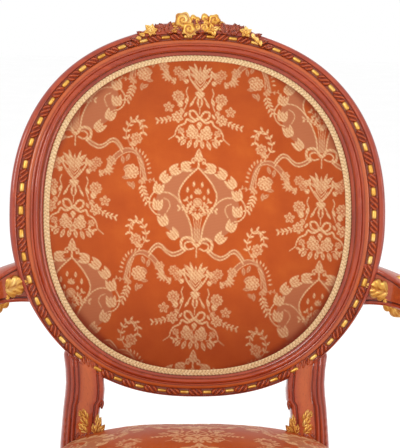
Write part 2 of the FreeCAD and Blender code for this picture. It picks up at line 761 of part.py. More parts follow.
def corner_blocks(solids):
    """Triangular blocks glued and nailed inside the four corners of the seat frame."""
    reach = CORNER_BLOCK_REACH
    front = Vector(FRONT_WIDTH / 2 - FRONT_BLOCK, FRONT_BLOCK - HALF_DEPTH, 0)
    rear = Vector(REAR_WIDTH / 2 - REAR_BLOCK_WIDTH, HALF_DEPTH - REAR_BLOCK_DEPTH, 0)
    low = RAIL_BOTTOM + 6
    blocks = []
    nails = []
    for corner, way in ((front, -1), (rear, 1)):
        inner = [
            Vector(corner.x - reach, corner.y + way * reach, low),
            Vector(corner.x - reach, corner.y - way * 0.2 * reach, low),
            Vector(corner.x - 0.2 * reach, corner.y - way * 0.75 * reach, low),
            Vector(corner.x + reach, corner.y - way * 0.75 * reach, low),
            Vector(corner.x + reach, corner.y + way * reach, low),
        ]
        blocks.append(prism(outline(inner), CORNER_BLOCK_HEIGHT).cut(solids))
        z = low + CORNER_BLOCK_HEIGHT / 2
        for start, aim in (
            (Vector(corner.x - 0.72 * reach, corner.y - way * 0.42 * reach, z), Vector(0, way, 0)),
            (Vector(corner.x + 0.02 * reach, corner.y - way * 0.78 * reach, z), Vector(1, 0, 0)),
        ):
            nails.append(cut_nail(start, aim))
    return both([largest(block) for block in blocks]), both(nails)


# Arms


def arm_path():
    """Stations of the right arm from its root on the back to its scroll: point, width and height.

    A quarter turn takes it out of the back and forward, and from there it runs straight.
    """
    root_angle = lower_angle(lambda angle: on_moulding(angle, 0, 0).y < bench_height(ARM_ROOT_HEIGHT))
    edge = hang_back(Part.Vertex(on_moulding(root_angle, MOULDING_WIDTH - 8, -9))).Point
    stations = []
    for share in (0, 0.33, 0.67, 1):
        turn = math.radians(90 * share)
        x = edge.x + (ARM_SPREAD - edge.x) * math.sin(turn)
        y = edge.y - ARM_TURN * (1 - math.cos(turn))
        width = 22 + (ARM_WIDTH - 22) * share
        height = ARM_HEIGHT + (ARM_ROOT_DEEP - ARM_HEIGHT) * (1 - share) ** 1.2
        stations.append((Vector(x, y, ARM_ROOT_HEIGHT - ARM_FALL * share), width, height))
    straight = ARM_LENGTH - ARM_TURN
    for share in (0.3, 0.65, 1):
        point = Vector(ARM_SPREAD, edge.y - ARM_TURN - straight * share, ARM_ROOT_HEIGHT - ARM_FALL - 4 * share)
        stations.append((point, ARM_WIDTH, ARM_HEIGHT))
    return stations


def arm():
    """The arm, falling and turning out of the back, then level over the seat to its scroll."""
    stations = arm_path()
    wires = []
    for i, (point, width, height) in enumerate(stations):
        before = stations[max(i - 1, 0)][0]
        after = stations[min(i + 1, len(stations) - 1)][0]
        along = after - before
        along.z = 0
        across = Vector(0, 0, 1).cross(along).normalize()
        half, top = width / 2, height / 2
        bevel = 7
        corners = []
        for out, up in (
            (-half + 3, -top),
            (-half, top - bevel),
            (-half + bevel, top),
            (half - bevel, top),
            (half, top - bevel),
            (half - 3, -top),
        ):
            corners.append(point + across * out + Vector(0, 0, up))
        wires.append(Part.makePolygon(corners + corners[:1]))
    end = stations[-1][0]
    middle = Vector(end.x - ARM_WIDTH / 2 - 1, end.y, end.z - SCROLL_RADIUS + ARM_HEIGHT / 2)
    scroll = Part.makeCylinder(SCROLL_RADIUS, ARM_WIDTH + 2, middle, Vector(1, 0, 0))
    return Part.makeLoft(wires, True, False).fuse(scroll)


def arm_post(grow):
    """The swept support between side rail and scroll, tenoned into the rail."""
    end = arm_path()[-1][0]
    foot_y = POST_SETBACK - HALF_DEPTH
    share = POST_SETBACK / FRAME_DEPTH
    outer = FRONT_WIDTH / 2 + (REAR_WIDTH - FRONT_WIDTH) / 2 * share + SIDE_BOW * 4 * share * (1 - share)
    foot = Vector(outer - POST_WIDTH / 2, foot_y, SHOW_WOOD_TOP)
    head = Vector(end.x, end.y, end.z - SCROLL_RADIUS)
    wires = []
    for rise, width, depth in ((0, 1, 1), (0.12, 0.96, 0.9), (0.35, 0.8, 0.72), (0.7, 0.8, 0.72), (1, 0.92, 0.85)):
        lean = rise * rise * (3 - 2 * rise)
        x = foot.x + (head.x - foot.x) * lean
        y = foot.y + (head.y - foot.y) * lean + POST_SWEEP * math.sin(math.pi * rise) * (1 - rise)
        z = foot.z + (head.z - foot.z) * rise
        half, deep = POST_WIDTH / 2 * width + grow, POST_DEPTH / 2 * depth + grow
        bevel = 6
        corners = []
        for across, along in (
            (-half, -deep + bevel),
            (-half + bevel, -deep),
            (half - bevel, -deep),
            (half, -deep + bevel),
            (half, deep - bevel),
            (half - bevel, deep),
            (-half + bevel, deep),
            (-half, deep - bevel),
        ):
            corners.append(Vector(x + across, y + along, z))
        wires.append(Part.makePolygon(corners + corners[:1]))
    peg = centred_box(foot - Vector(0, 0, 12), TENON_THICKNESS, POST_DEPTH - 14, 30)
    return Part.makeLoft(wires, True, False).fuse(peg)


def arm_tongues(slack):
    """A tongue from each arm root into the back, and one from each post into its scroll."""
    root = arm_path()[0][0]
    end = arm_path()[-1][0]
    joint = Vector(end.x, end.y, end.z - SCROLL_RADIUS - POST_DEPTH / 2)
    up = Vector(0, 0, 1)
    return both([tongue(root, Vector(1, -0.2, 0), up, slack), tongue(joint, up, Vector(0, 1, 0), slack)])


def pad_crown(grow):
    """The rounded pad on the arm, in section across and along it."""
    stations = arm_path()
    middle_y = (stations[3][0].y + stations[-1][0].y) / 2
    top = stations[4][0].z + ARM_HEIGHT / 2
    wires = []
    for share, spread in ((-1, 0.5), (-0.9, 0.85), (-0.6, 1), (0.6, 1), (0.9, 0.85), (1, 0.5)):
        y = middle_y + share * (PAD_LENGTH / 2 + grow)
        half = PAD_WIDTH / 2 * spread + grow
        rise = PAD_CROWN * spread**2 + grow
        section = []
        for angle in range(0, 181, 36):
            turn = math.radians(angle)
            section.append(Vector(ARM_SPREAD + half * math.cos(turn), y, top + rise * math.sin(turn) ** 0.8))
        wires.append(Part.makePolygon(section + section[:1]))
    return Part.makeLoft(wires, True, True)


# Upholstery


def seat_crown(x, y):
    """The stuffed seat: a full dome, steeper to the front and sides, and held up behind by the back."""
    share = y / HALF_DEPTH
    half = (FRONT_WIDTH + REAR_WIDTH) / 4 - (FRONT_WIDTH - REAR_WIDTH) / 4 * share + SIDE_BOW * (1 - share**2)
    across = 1 - abs(x / half) ** 3
    forward = -y / (HALF_DEPTH + FRONT_BOW * (1 - (x / half) ** 2))
    fall = 0.45 * share**2 if share > 0 else forward**3
    return SEAT_RAIL_TOP + SEAT_EDGE_RISE + SEAT_CROWN * across * (1 - fall)


def seat_form(inset):
    """The stuffed seat: upright behind the gimp, swelling over the rails and drawn in to its crown."""
    reach = HALF_DEPTH + FRONT_BOW + 5
    dome = crowned_block(seat_crown, FRONT_WIDTH / 2 + 5, -reach, reach, 2 * SEAT_CROWN, 11)
    gimp_top = SHOW_WOOD_TOP + GIMP_WIDTH
    wires = [
        seat_plan(inset, SHOW_WOOD_TOP),
        seat_plan(inset, gimp_top),
        seat_plan(inset - SEAT_BULGE, SEAT_RAIL_TOP + SEAT_EDGE_RISE / 2),
        seat_plan(inset + 4 * SEAT_BULGE, SEAT_RAIL_TOP + 2 * SEAT_CROWN),
    ]
    return dome.translated(Vector(0, 0, -inset)).common(Part.makeLoft(wires, True, True))


def straps(count, span, pitch, level, along_y):
    """Parallel webbing straps at one level, longer than the frame they will be cut to."""
    pieces = []
    for i in range(count):
        offset = (i - (count - 1) / 2) * pitch
        low, high = offset - STRAP_WIDTH / 2, offset + STRAP_WIDTH / 2
        if along_y:
            pieces.append(box(low, high, -span, span, level, level + STRAP_THICKNESS))
        else:
            pieces.append(box(-span, span, low, high, level, level + STRAP_THICKNESS))
    return pieces


def upholster_seat(uprights, posts):
    field = prism(seat_plan(TACKING_REBATE + 6, SEAT_RAIL_TOP), HESSIAN_TOP - SEAT_RAIL_TOP)
    for name, along_y, level, pitch in (
        ("seat_webbing_lengthwise", True, SEAT_RAIL_TOP, REAR_WIDTH / STRAPS),
        ("seat_webbing_crosswise", False, SEAT_RAIL_TOP + STRAP_THICKNESS, FRAME_DEPTH / (STRAPS + 0.6)),
    ):
        bands = straps(STRAPS, FRAME_DEPTH, pitch, level, along_y)
        cut = [strap.common(field).cut(uprights + posts) for strap in bands]
        PARTS[name] = group(cut)
    hessian = prism(seat_plan(TACKING_REBATE + 6, WEBBING_TOP), HESSIAN_THICKNESS)
    PARTS["seat_hessian"] = hessian.cut(uprights + posts)
    core = seat_form(TACKING_REBATE)
    skin = seat_form(TACKING_REBATE - COVER_THICKNESS)
    upper = box(-FRONT_WIDTH, FRONT_WIDTH, -FRAME_DEPTH, FRAME_DEPTH, SEAT_RAIL_TOP, SEAT_RAIL_TOP + 3 * SEAT_CROWN)
    PARTS["seat_stuffing"] = core.common(upper).cut([field] + uprights + posts)
    PARTS["seat_cover"] = skin.cut([core] + uprights + posts)
    edge = TACKING_REBATE - COVER_THICKNESS - GIMP_THICKNESS
    gimp = seat_ring(edge, GIMP_THICKNESS, SHOW_WOOD_TOP, SHOW_WOOD_TOP + GIMP_WIDTH)
    PARTS["seat_gimp"] = group([gimp.cut(uprights + posts)])
    return prism(seat_plan(12, RAIL_BOTTOM - DUST_COVER_THICKNESS), DUST_COVER_THICKNESS)


def upholster_back():
    """Webbing, hessian, stuffing, cover and gimp from the front, and a covered panel behind."""
    half_x, half_y = SIGHT_HALF_WIDTH + 8, SIGHT_HALF_HEIGHT + 8
    inside = sight_prism(-FIT)
    level = LEDGE_FRONT + SEATING
    for name, along_y, span in (
        ("back_webbing_vertical", True, SIGHT_HALF_HEIGHT),
        ("back_webbing_horizontal", False, SIGHT_HALF_WIDTH),
    ):
        layer = hollow_slab(level, level + STRAP_THICKNESS).common(inside)
        bands = []
        for i in range(BACK_STRAPS):
            offset = (i - (BACK_STRAPS - 1) / 2) * span * 0.5
            low, high = offset - STRAP_WIDTH / 2, offset + STRAP_WIDTH / 2
            if along_y:
                bands.append(layer.common(box(low, high, -half_y, half_y, -50, 150)))
            else:
                bands.append(layer.common(box(-half_x, half_x, low, high, -50, 150)))
        PARTS[name] = group([hang_back(band) for band in bands])
        level += STRAP_THICKNESS
    PARTS["back_hessian"] = hang_back(hollow_slab(level, level + HESSIAN_THICKNESS).common(inside))
    level += HESSIAN_THICKNESS
    dome = crowned_block(back_crown, half_x, -half_y, half_y, 90, 15)
    cloth = crowned_block(back_crown, half_x, -half_y, half_y, COVER_THICKNESS, 15)
    edging = crowned_block(back_crown, half_x, -half_y, half_y, GIMP_THICKNESS, 15)
    lowered = dome.translated(Vector(0, 0, -COVER_THICKNESS))
    stuffing = lowered.common(hollow_slab(level, 150)).common(sight_prism(-TACKING_LEDGE / 2))
    PARTS["back_stuffing"] = hang_back(stuffing)
    PARTS["back_cover"] = hang_back(cloth.common(inside))
    ring = inside.cut(sight_prism(-GIMP_WIDTH))
    PARTS["back_gimp"] = hang_back(edging.translated(Vector(0, 0, GIMP_THICKNESS)).common(ring))
    panel = hollow_slab(LEDGE_REAR - PANEL_THICKNESS, LEDGE_REAR - FIT).common(inside)
    PARTS["outside_back_panel"] = hang_back(panel)
    edge = LEDGE_REAR - PANEL_THICKNESS
    PARTS["outside_back_gimp"] = hang_back(hollow_slab(edge - GIMP_THICKNESS, edge).common(ring))


def back_frame():
    """Crest, two stiles with their legs and uprights, and the bottom rail, tongued together."""
    crest = hang_back(moulding_arc(CREST_JOINT_ANGLE, math.pi - CREST_JOINT_ANGLE, 9).fuse(crest_carving_ground()))
    bottom = hang_back(moulding_arc(-math.pi - FOOT_JOINT, FOOT_JOINT, 5))
    side = hang_back(moulding_arc(FOOT_JOINT, CREST_JOINT_ANGLE, 9))
    slots = medallion_tongues(FIT)
    half_width, half_depth = REAR_BLOCK_WIDTH / 2, REAR_BLOCK_DEPTH / 2
    x, y = REAR_LEG_X, REAR_LEG_Y
    block = box(x - half_width, x + half_width, y - half_depth, y + half_depth, BLOCK_BOTTOM, SEAT_RAIL_TOP)
    rake = math.radians(REAR_LEG_RAKE)
    slant = BLOCK_BOTTOM / math.cos(rake) + 20
    leg = turned_leg(slant).translated(Vector(0, 0, -slant + 6))
    leg.rotate(Vector(0, 0, 0), Vector(1, 0, 0), REAR_LEG_RAKE)
    leg.translate(Vector(x, y - 4, BLOCK_BOTTOM))
    floor = box(0, FRONT_WIDTH, -FRAME_DEPTH, 2 * FRAME_DEPTH, -100, GLIDE_HEIGHT)
    mortises = [tenon(SIDE_REAR_SHOULDER, False, 2 * FIT), tenon(REAR_SHOULDER, True, 2 * FIT)]
    lower = block.fuse(leg.cut(floor)).cut(mortises + [upper_rebate()])
    stile = side.fuse([upright(0), lower]).cut(slots + arm_tongues(FIT))
    PARTS["crest_rail"] = crest.cut(slots)
    PARTS["back_bottom_rail"] = bottom.cut(slots)
    PARTS["medallion_tongues"] = group(medallion_tongues(0))
    pair("back_stile", stile)
    foot = leg.common(box(0, FRONT_WIDTH, -FRAME_DEPTH, 2 * FRAME_DEPTH, GLIDE_HEIGHT, GLIDE_HEIGHT + 1))
    return stile, foot.BoundBox.Center


def main():
    post = arm_post(0)
    solid_arm = arm()
    stile, rear_foot = back_frame()
    post = post.cut([solid_arm] + arm_tongues(FIT))
    pair("arm_post", post)
    pair("arm", largest(solid_arm.cut([stile] + arm_tongues(FIT))))
    PARTS["arm_tongues"] = group(arm_tongues(0))

    front = turned_leg(BLOCK_BOTTOM - GLIDE_HEIGHT).translated(Vector(FRONT_LEG_X, FRONT_LEG_Y, GLIDE_HEIGHT))
    mortises = [tenon(FRONT_SHOULDER, True, 2 * FIT), tenon(SIDE_FRONT_SHOULDER, False, 2 * FIT)]
    front = front_leg_block().fuse(front).cut(mortises + [upper_rebate()])
    pair("front_leg", front)
    leg_rosettes()
    glides = []
    for foot in (Vector(FRONT_LEG_X, FRONT_LEG_Y, 0), Vector(rear_foot.x, rear_foot.y, 0)):
        glides.append(Part.makeCylinder(GLIDE_RADIUS, GLIDE_HEIGHT, foot))
    PARTS["glides"] = group(both(glides))

    rails = {"right_seat_rail": side_rail(post), "front_seat_rail": front_rail(), "rear_seat_rail": rear_rail()}
    blocks, nails = corner_blocks(list(rails.values()) + [front, stile])
    for name, rail in rails.items():
        PARTS[name] = rail.cut(nails)
    PARTS["left_seat_rail"] = mirrored(PARTS["right_seat_rail"])
    PARTS["corner_blocks"] = group([block.cut(nails) for block in blocks])
    PARTS["corner_block_nails"] = group(nails)

    uprights = both([upright(FIT)])
    cloth = upholster_seat(uprights, both([arm_post(FIT)]))
    PARTS["dust_cover"] = cloth.cut(both([front, stile]))
    upholster_back()
    for name, grow, trim in (("arm_pad_stuffing", -COVER_THICKNESS, 0), ("arm_pad_cover", 0, -COVER_THICKNESS)):
        pad = pad_crown(grow)
        if trim:
            pad = pad.cut(pad_crown(trim))
        pair(name, pad.cut(solid_arm))
    ribbon_and_stick()
    crest_flowers([PARTS["crest_rail"], PARTS["ribbon_sticks"], PARTS["ribbon_wraps"]])
    PARTS["arm_leaves"] = group(both(arm_leaves(solid_arm, [stile])))
    PARTS["upright_leaves"] = group(both(upright_leaves([stile, PARTS["seat_cover"]])))

    whole = Part.makeCompound(list(PARTS.values())).BoundBox
    os.makedirs("parts", exist_ok=True)
    for name, shape in PARTS.items():
        placed = shape.translated(Vector(0, -whole.Center.y, 0))
        placed.exportStep(f"parts/{name}.step")


if __name__ == "__main__":
    main()
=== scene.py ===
"""Looks of the medallion-back fauteuil: carved mahogany, gilding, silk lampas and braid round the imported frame.

Shapes are worked out in millimetres and go into the meshes in metres. The back is drawn on the bench, as a
chair-maker does: x across, y up the back, n out of its front. hang() leans that drawing over the seat.
"""

import math

import bpy
import numpy as np
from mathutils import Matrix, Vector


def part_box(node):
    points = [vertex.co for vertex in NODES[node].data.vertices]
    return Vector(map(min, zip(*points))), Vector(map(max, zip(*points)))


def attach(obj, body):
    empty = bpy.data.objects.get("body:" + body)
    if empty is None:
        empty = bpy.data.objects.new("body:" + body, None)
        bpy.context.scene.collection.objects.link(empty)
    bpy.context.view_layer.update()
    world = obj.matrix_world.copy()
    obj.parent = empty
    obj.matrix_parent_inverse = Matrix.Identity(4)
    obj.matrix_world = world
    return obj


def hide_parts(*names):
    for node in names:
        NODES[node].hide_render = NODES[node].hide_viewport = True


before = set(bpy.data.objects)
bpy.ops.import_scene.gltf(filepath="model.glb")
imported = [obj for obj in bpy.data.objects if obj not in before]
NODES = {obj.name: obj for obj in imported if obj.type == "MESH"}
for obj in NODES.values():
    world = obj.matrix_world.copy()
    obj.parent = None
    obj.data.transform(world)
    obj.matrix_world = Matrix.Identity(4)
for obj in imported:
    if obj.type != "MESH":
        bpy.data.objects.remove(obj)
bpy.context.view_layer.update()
MM = 0.001
X_AXIS, Y_AXIS, Z_AXIS = np.eye(3)

# Which way an open sheet of the leaning back faces
FORWARDS, BACKWARDS = (0, -1, 0.2), (0, 1, -0.2)

# Sizes of the frame, as the maker's drawing has them
SEAT_RAIL_TOP, SHOW_WOOD_TOP, BLOCK_BOTTOM = 390.0, 366.0, 310.0
FRONT_WIDTH, REAR_WIDTH, FRAME_DEPTH = 580.0, 378.0, 505.0
FRONT_BOW, SIDE_BOW, REAR_BOW = 20.0, 7.0, 8.0
FRONT_LEG_X, FRONT_LEG_Y = 263.0, -225.5
REAR_LEG_X, REAR_LEG_Y = 158.0, 227.5
GLIDE_RADIUS, GLIDE_HEIGHT = 9.0, 4.0
BACK_RAKE = math.radians(12.0)
MEDALLION_HEIGHT = 738.0
SIGHT_HALF_WIDTH, SIGHT_HALF_HEIGHT, SIGHT_SQUARENESS = 221.0, 235.0, 2.3
HOLLOW_RADIUS = 900.0
NARROWEST_SHARE, OUTER_LOSS, BACK_THICKNESS = 0.76, 0.75, 20.0
CHANNEL_FLOOR, CHANNEL_END, STICK_LINE = 7.0, 37.9, 31.0
CREST_JOINT = math.radians(40.0)
FOOT_JOINT = math.radians(-60.5)
GIMP_WIDTH = 11.5

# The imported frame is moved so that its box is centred; the front glides say by how much
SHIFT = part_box("glides")[0].y / MM + GLIDE_RADIUS - FRONT_LEG_Y
BACK_BEHIND = REAR_LEG_Y + (MEDALLION_HEIGHT - SEAT_RAIL_TOP) * math.tan(BACK_RAKE) + SHIFT


# Building meshes from grids


class Piece:
    """One object, gathered from patches. A patch is a grid of points in mm, joined into quads."""

    def __init__(self, material):
        self.points, self.quads, self.tris = [], [], []
        self.values = {}
        self.count = 0
        self.material = material

    def grid(self, points, round_i=False, round_j=False, towards=None, caps=False, **values):
        """Adds a grid (i, j, 3). round_i and round_j close it on itself, caps closes both ends with fans.

        A closed tube is turned outwards by the sign of its volume, and an open sheet faces towards a vector.
        """
        points = np.asarray(points, float)
        rows, cols = points.shape[:2]
        i = np.arange(rows if round_i else rows - 1)
        j = np.arange(cols if round_j else cols - 1)
        i, j = np.meshgrid(i, j, indexing="ij")
        i2, j2 = (i + 1) % rows, (j + 1) % cols
        quads = np.stack([i * cols + j, i2 * cols + j, i2 * cols + j2, i * cols + j2], -1).reshape(-1, 4)
        flat = points.reshape(-1, 3)
        tris = np.zeros((0, 3), int)
        if caps:
            middles = np.array([points[0].mean(0), points[-1].mean(0)])
            k = np.arange(cols if round_j else cols - 1)
            k2 = (k + 1) % cols
            first = np.stack([k, k2, np.full_like(k, len(flat))], -1)
            last = np.stack([(rows - 1) * cols + k2, (rows - 1) * cols + k, np.full_like(k, len(flat) + 1)], -1)
            tris = np.concatenate([first, last])
            flat = np.concatenate([flat, middles])
        a, b, c, d = (flat[quads[:, n]] for n in range(4))
        if towards is None:
            origin = flat.mean(0)
            volume = np.einsum("ij,ij->i", np.cross(a - origin, b - origin) + np.cross(b - origin, c - origin)
                               + np.cross(c - origin, d - origin) + np.cross(d - origin, a - origin),
                               a - origin).sum()
            inward = volume < 0
        else:
            inward = np.cross(c - a, d - b).sum(0) @ np.asarray(towards, float) < 0
        if inward:
            quads, tris = quads[:, ::-1], tris[:, ::-1]
        self.quads.append(quads + self.count)
        self.tris.append(tris + self.count)
        for name in set(self.values) | set(values):
            known = self.values.setdefault(name, [np.zeros(self.count)])
            given = np.broadcast_to(np.asarray(values.get(name, 0.0), float), (rows, cols)).reshape(-1)
            known.append(np.concatenate([given, np.full(len(flat) - rows * cols, given.mean())]))
        self.points.append(flat)
        self.count += len(flat)

    def mirror(self):
        """The same piece for the other side of the chair, with its faces turned to match."""
        other = Piece(self.material)
        other.points = [p * (-1, 1, 1) for p in self.points]
        other.quads = [q[:, ::-1] for q in self.quads]
        other.tris = [t[:, ::-1] for t in self.tris]
        other.values, other.count = self.values, self.count
        return other

    def join(self, other):
        """Takes over the patches of a second piece of the same material."""
        self.quads += [q + self.count for q in other.quads]
        self.tris += [t + self.count for t in other.tris]
        for name in set(self.values) | set(other.values):
            mine = self.values.setdefault(name, [np.zeros(self.count)])
            mine += other.values.get(name, [np.zeros(other.count)])
        self.points += other.points
        self.count += other.count

    def build(self, name, slot, replaces=(), sharp=35, uv=None):
        """Makes the object, rides it on the chair's body and says which nodes it stands for; slot is not used."""
        mesh = bpy.data.meshes.new("finished_" + name)
        points = np.concatenate(self.points) * MM
        quads, tris = np.concatenate(self.quads), np.concatenate(self.tris)
        corners = np.concatenate([quads.ravel(), tris.ravel()]).astype(np.int32)
        sizes = np.concatenate([np.full(len(quads), 4), np.full(len(tris), 3)])
        mesh.vertices.add(len(points))
        mesh.vertices.foreach_set("co", points.ravel())
        mesh.loops.add(len(corners))
        mesh.loops.foreach_set("vertex_index", corners)
        mesh.polygons.add(len(sizes))
        mesh.polygons.foreach_set("loop_start", np.concatenate([[0], np.cumsum(sizes)[:-1]]).astype(np.int32))
        mesh.update(calc_edges=True)
        mesh.polygons.foreach_set("use_smooth", np.ones(len(sizes), bool))
        for key, parts in self.values.items():
            layer = mesh.attributes.new(key, "FLOAT", "POINT")
            layer.data.foreach_set("value", np.concatenate(parts).astype(np.float32))
        if uv:
            along, across = (np.concatenate(self.values[key])[corners] * MM for key in uv)
            mesh.uv_layers.new(name="Cloth").data.foreach_set("uv", np.stack([along, across], -1).ravel())
        mesh.validate()
        if sharp:
            mesh.set_sharp_from_angle(angle=math.radians(sharp))
        mesh.materials.append(self.material)
        made = bpy.data.objects.new("finished_" + name, mesh)
        bpy.context.scene.collection.objects.link(made)
        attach(made, "root")
        if replaces:
            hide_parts(*replaces)
        return made


def lanes(*columns):
    """Points from coordinates that broadcast to one grid."""
    return np.stack(np.broadcast_arrays(*columns), -1).astype(float)


def smooth(low, high, x):
    """0 below low, 1 above high, and an S-curve 3t^2 - 2t^3 between."""
    t = np.clip((np.asarray(x, float) - low) / (high - low), 0, 1)
    return t * t * (3 - 2 * t)


def bell(x, width):
    """A hump of height 1 at 0, exp(-(x / width)^2)."""
    return np.exp(-((np.asarray(x, float) / width) ** 2))


def spline(points, count):
    """A smooth line through control points: Catmull-Rom, a cubic whose slope at a point joins its neighbours."""
    points = np.asarray(points, float)
    padded = np.concatenate([2 * points[:1] - points[1:2], points, 2 * points[-1:] - points[-2:-1]])
    t = np.linspace(0, len(points) - 1, count)
    k = np.minimum(t.astype(int), len(points) - 2)
    f = (t - k)[:, None]
    a, b, c, d = (padded[k + n] for n in range(4))
    return 0.5 * (2 * b + (c - a) * f + (2 * a - 5 * b + 4 * c - d) * f**2 + (3 * b - a - 3 * c + d) * f**3)


def round_turn(count):
    """The angles of one turn in count equal steps, without the last."""
    return np.linspace(0, 2 * math.pi, count + 1)[:-1]


def run_length(x, y):
    """The length run along a line up to each of its points."""
    return np.concatenate([[0], np.cumsum(np.hypot(np.diff(x), np.diff(y)))])


def unit(vectors):
    """Vectors divided by their lengths."""
    return vectors / np.maximum(np.linalg.norm(vectors, axis=-1, keepdims=True), 1e-9)


# The bench drawing of the back


def hollow(x):
    """How far the concave back stands forward at x: R - sqrt(R^2 - x^2)."""
    return HOLLOW_RADIUS - np.sqrt(HOLLOW_RADIUS**2 - np.asarray(x, float) ** 2)


def hang(bench):
    """Leans bench points (x, y, n) by the rake and lifts them over the seat."""
    x, y, n = bench[..., 0], bench[..., 1], bench[..., 2]
    c, s = math.cos(BACK_RAKE), math.sin(BACK_RAKE)
    return lanes(x, BACK_BEHIND + s * y - c * n, MEDALLION_HEIGHT + c * y + s * n)


def sight(angle, out=0.0):
    """The sight edge, |x/a|^n + |y/b|^n = 1, at polar angles, and its offset outwards along the normal."""
    c, s, n = np.cos(angle), np.sin(angle), SIGHT_SQUARENESS
    radius = (np.abs(c / SIGHT_HALF_WIDTH) ** n + np.abs(s / SIGHT_HALF_HEIGHT) ** n) ** (-1 / n)
    x, y = radius * c, radius * s
    nx = np.sign(x) * np.abs(x / SIGHT_HALF_WIDTH) ** (n - 1) / SIGHT_HALF_WIDTH
    ny = np.sign(y) * np.abs(y / SIGHT_HALF_HEIGHT) ** (n - 1) / SIGHT_HALF_HEIGHT
    size = np.hypot(nx, ny)
    return x + nx / size * out, y + ny / size * out


def moulding_share(angle):
    """The moulding's width as a share of its width at the sides: least + (1 - least) cos^2 of the polar angle."""
    return NARROWEST_SHARE + (1 - NARROWEST_SHARE) * np.cos(angle) ** 2


def inner_fall(angle):
    """At the top of the oval the inner mouldings hang up to 4 mm further in, as the photograph shows them."""
    return 4.0 * smooth(0.55, 1.0, np.sin(angle))


def on_moulding(angle, out, height):
    """A point of the moulding in the bench drawing, out from the sight edge and over the hollow back.

    Beyond the channel the outer side is drawn in to a quarter of its width under the oval.
    """
    out = np.asarray(out, float)
    share = np.where(out > 0, moulding_share(angle), 1.0)
    narrow = 1 - OUTER_LOSS * smooth(0.1, 0.75, -np.sin(angle))
    out = np.where(out > CHANNEL_END, CHANNEL_END + (out - CHANNEL_END) * narrow, out)
    x, y = sight(angle, out * share - inner_fall(angle) * np.clip(1 - out / 22, 0, 1) * (np.asarray(height) > -11))
    return lanes(x, y, height + hollow(x))


def evenly_round(out, count, start=math.pi / 2, end=-1.5 * math.pi):
    """Polar angles that part one turn of an offset of the oval into equal lengths."""
    angle = np.linspace(start, end, 4001)
    x, y = sight(angle, out * moulding_share(angle))
    run = run_length(x, y)
    return np.interp(np.linspace(0, run[-1], count), run, angle), run[-1]


def superellipse(angle, power):
    """The unit superellipse |x|^p + |y|^p = 1 at polar angles."""
    c, s = np.cos(angle), np.sin(angle)
    rim = (np.abs(c) ** power + np.abs(s) ** power) ** (-1 / power)
    return rim * c, rim * s


def disc_grid(across, up):
    """A square grid bent into the unit disc, x sqrt(1 - y^2/2), y sqrt(1 - x^2/2): its polar angles and radii."""
    a, b = np.meshgrid(np.linspace(-1, 1, across), np.linspace(-1, 1, up), indexing="ij")
    x, y = a * np.sqrt(1 - b * b / 2), b * np.sqrt(1 - a * a / 2)
    return np.arctan2(y, x), np.hypot(x, y)


def arc(middle, radius, start, end, count):
    """Points of a circular arc in a profile, angles in degrees."""
    turn = np.radians(np.linspace(start, end, count))
    return [(middle[0] + radius * math.cos(t), middle[1] + radius * math.sin(t)) for t in turn]


# Finishes


def colour(hexa):
    """An sRGB hex value as the linear colour that the shader wants."""
    parts = [int(hexa[k:k + 2], 16) / 255 for k in (1, 3, 5)]
    return (*[p / 12.92 if p <= 0.04045 else ((p + 0.055) / 1.055) ** 2.4 for p in parts], 1.0)


def add(tree, kind, inputs=None, stops=(), **settings):
    """Adds a node. Inputs, by name or number, are values, hex colours, nodes or outputs; stops are a ramp's."""
    made = tree.nodes.new("ShaderNode" + kind)
    for key, value in settings.items():
        setattr(made, key, value)
    for key, value in (inputs or {}).items():
        value = value.outputs[0] if hasattr(value, "outputs") else value
        if isinstance(value, bpy.types.NodeSocket):
            tree.links.new(value, made.inputs[key])
        else:
            made.inputs[key].default_value = colour(value) if isinstance(value, str) else value
    for _ in stops[2:]:
        made.color_ramp.elements.new(0.5)
    for element, (place, hexa) in zip(made.color_ramp.elements if stops else (), stops):
        element.position, element.color = place, colour(hexa)
    return made


def start(name, stretch=(1, 1, 1), cloth=False):
    """An empty finish, its nodes, and its Object coordinates in metres times stretch, or the cloth's own map."""
    material = bpy.data.materials.new(name)
    material.use_nodes = True
    tree = material.node_tree
    tree.nodes.clear()
    if cloth:
        return material, tree, add(tree, "UVMap", uv_map="Cloth")
    place = add(tree, "TexCoord").outputs["Object"]
    return material, tree, add(tree, "Mapping", {"Vector": place, "Scale": stretch})


def end(material, base, layers=(), bump=(), **shader):
    """Ends a finish: (share, tint) layers over a base, a bump of (strength, metres, height), the shader's inputs.

    Constants go straight onto the shader's own sockets.
    """
    tree = material.node_tree
    for share, tint in layers:
        base = add(tree, "Mix", {0: share, 6: base, 7: tint}, data_type="RGBA").outputs[2]
    inputs = {key.replace("_", " "): value for key, value in shader.items()}
    if bump:
        inputs["Normal"] = add(tree, "Bump", dict(zip(("Strength", "Distance", "Height"), bump)))
    surface = add(tree, "BsdfPrincipled", {"Base Color": base, **inputs})
    add(tree, "OutputMaterial", {"Surface": surface})
    return material


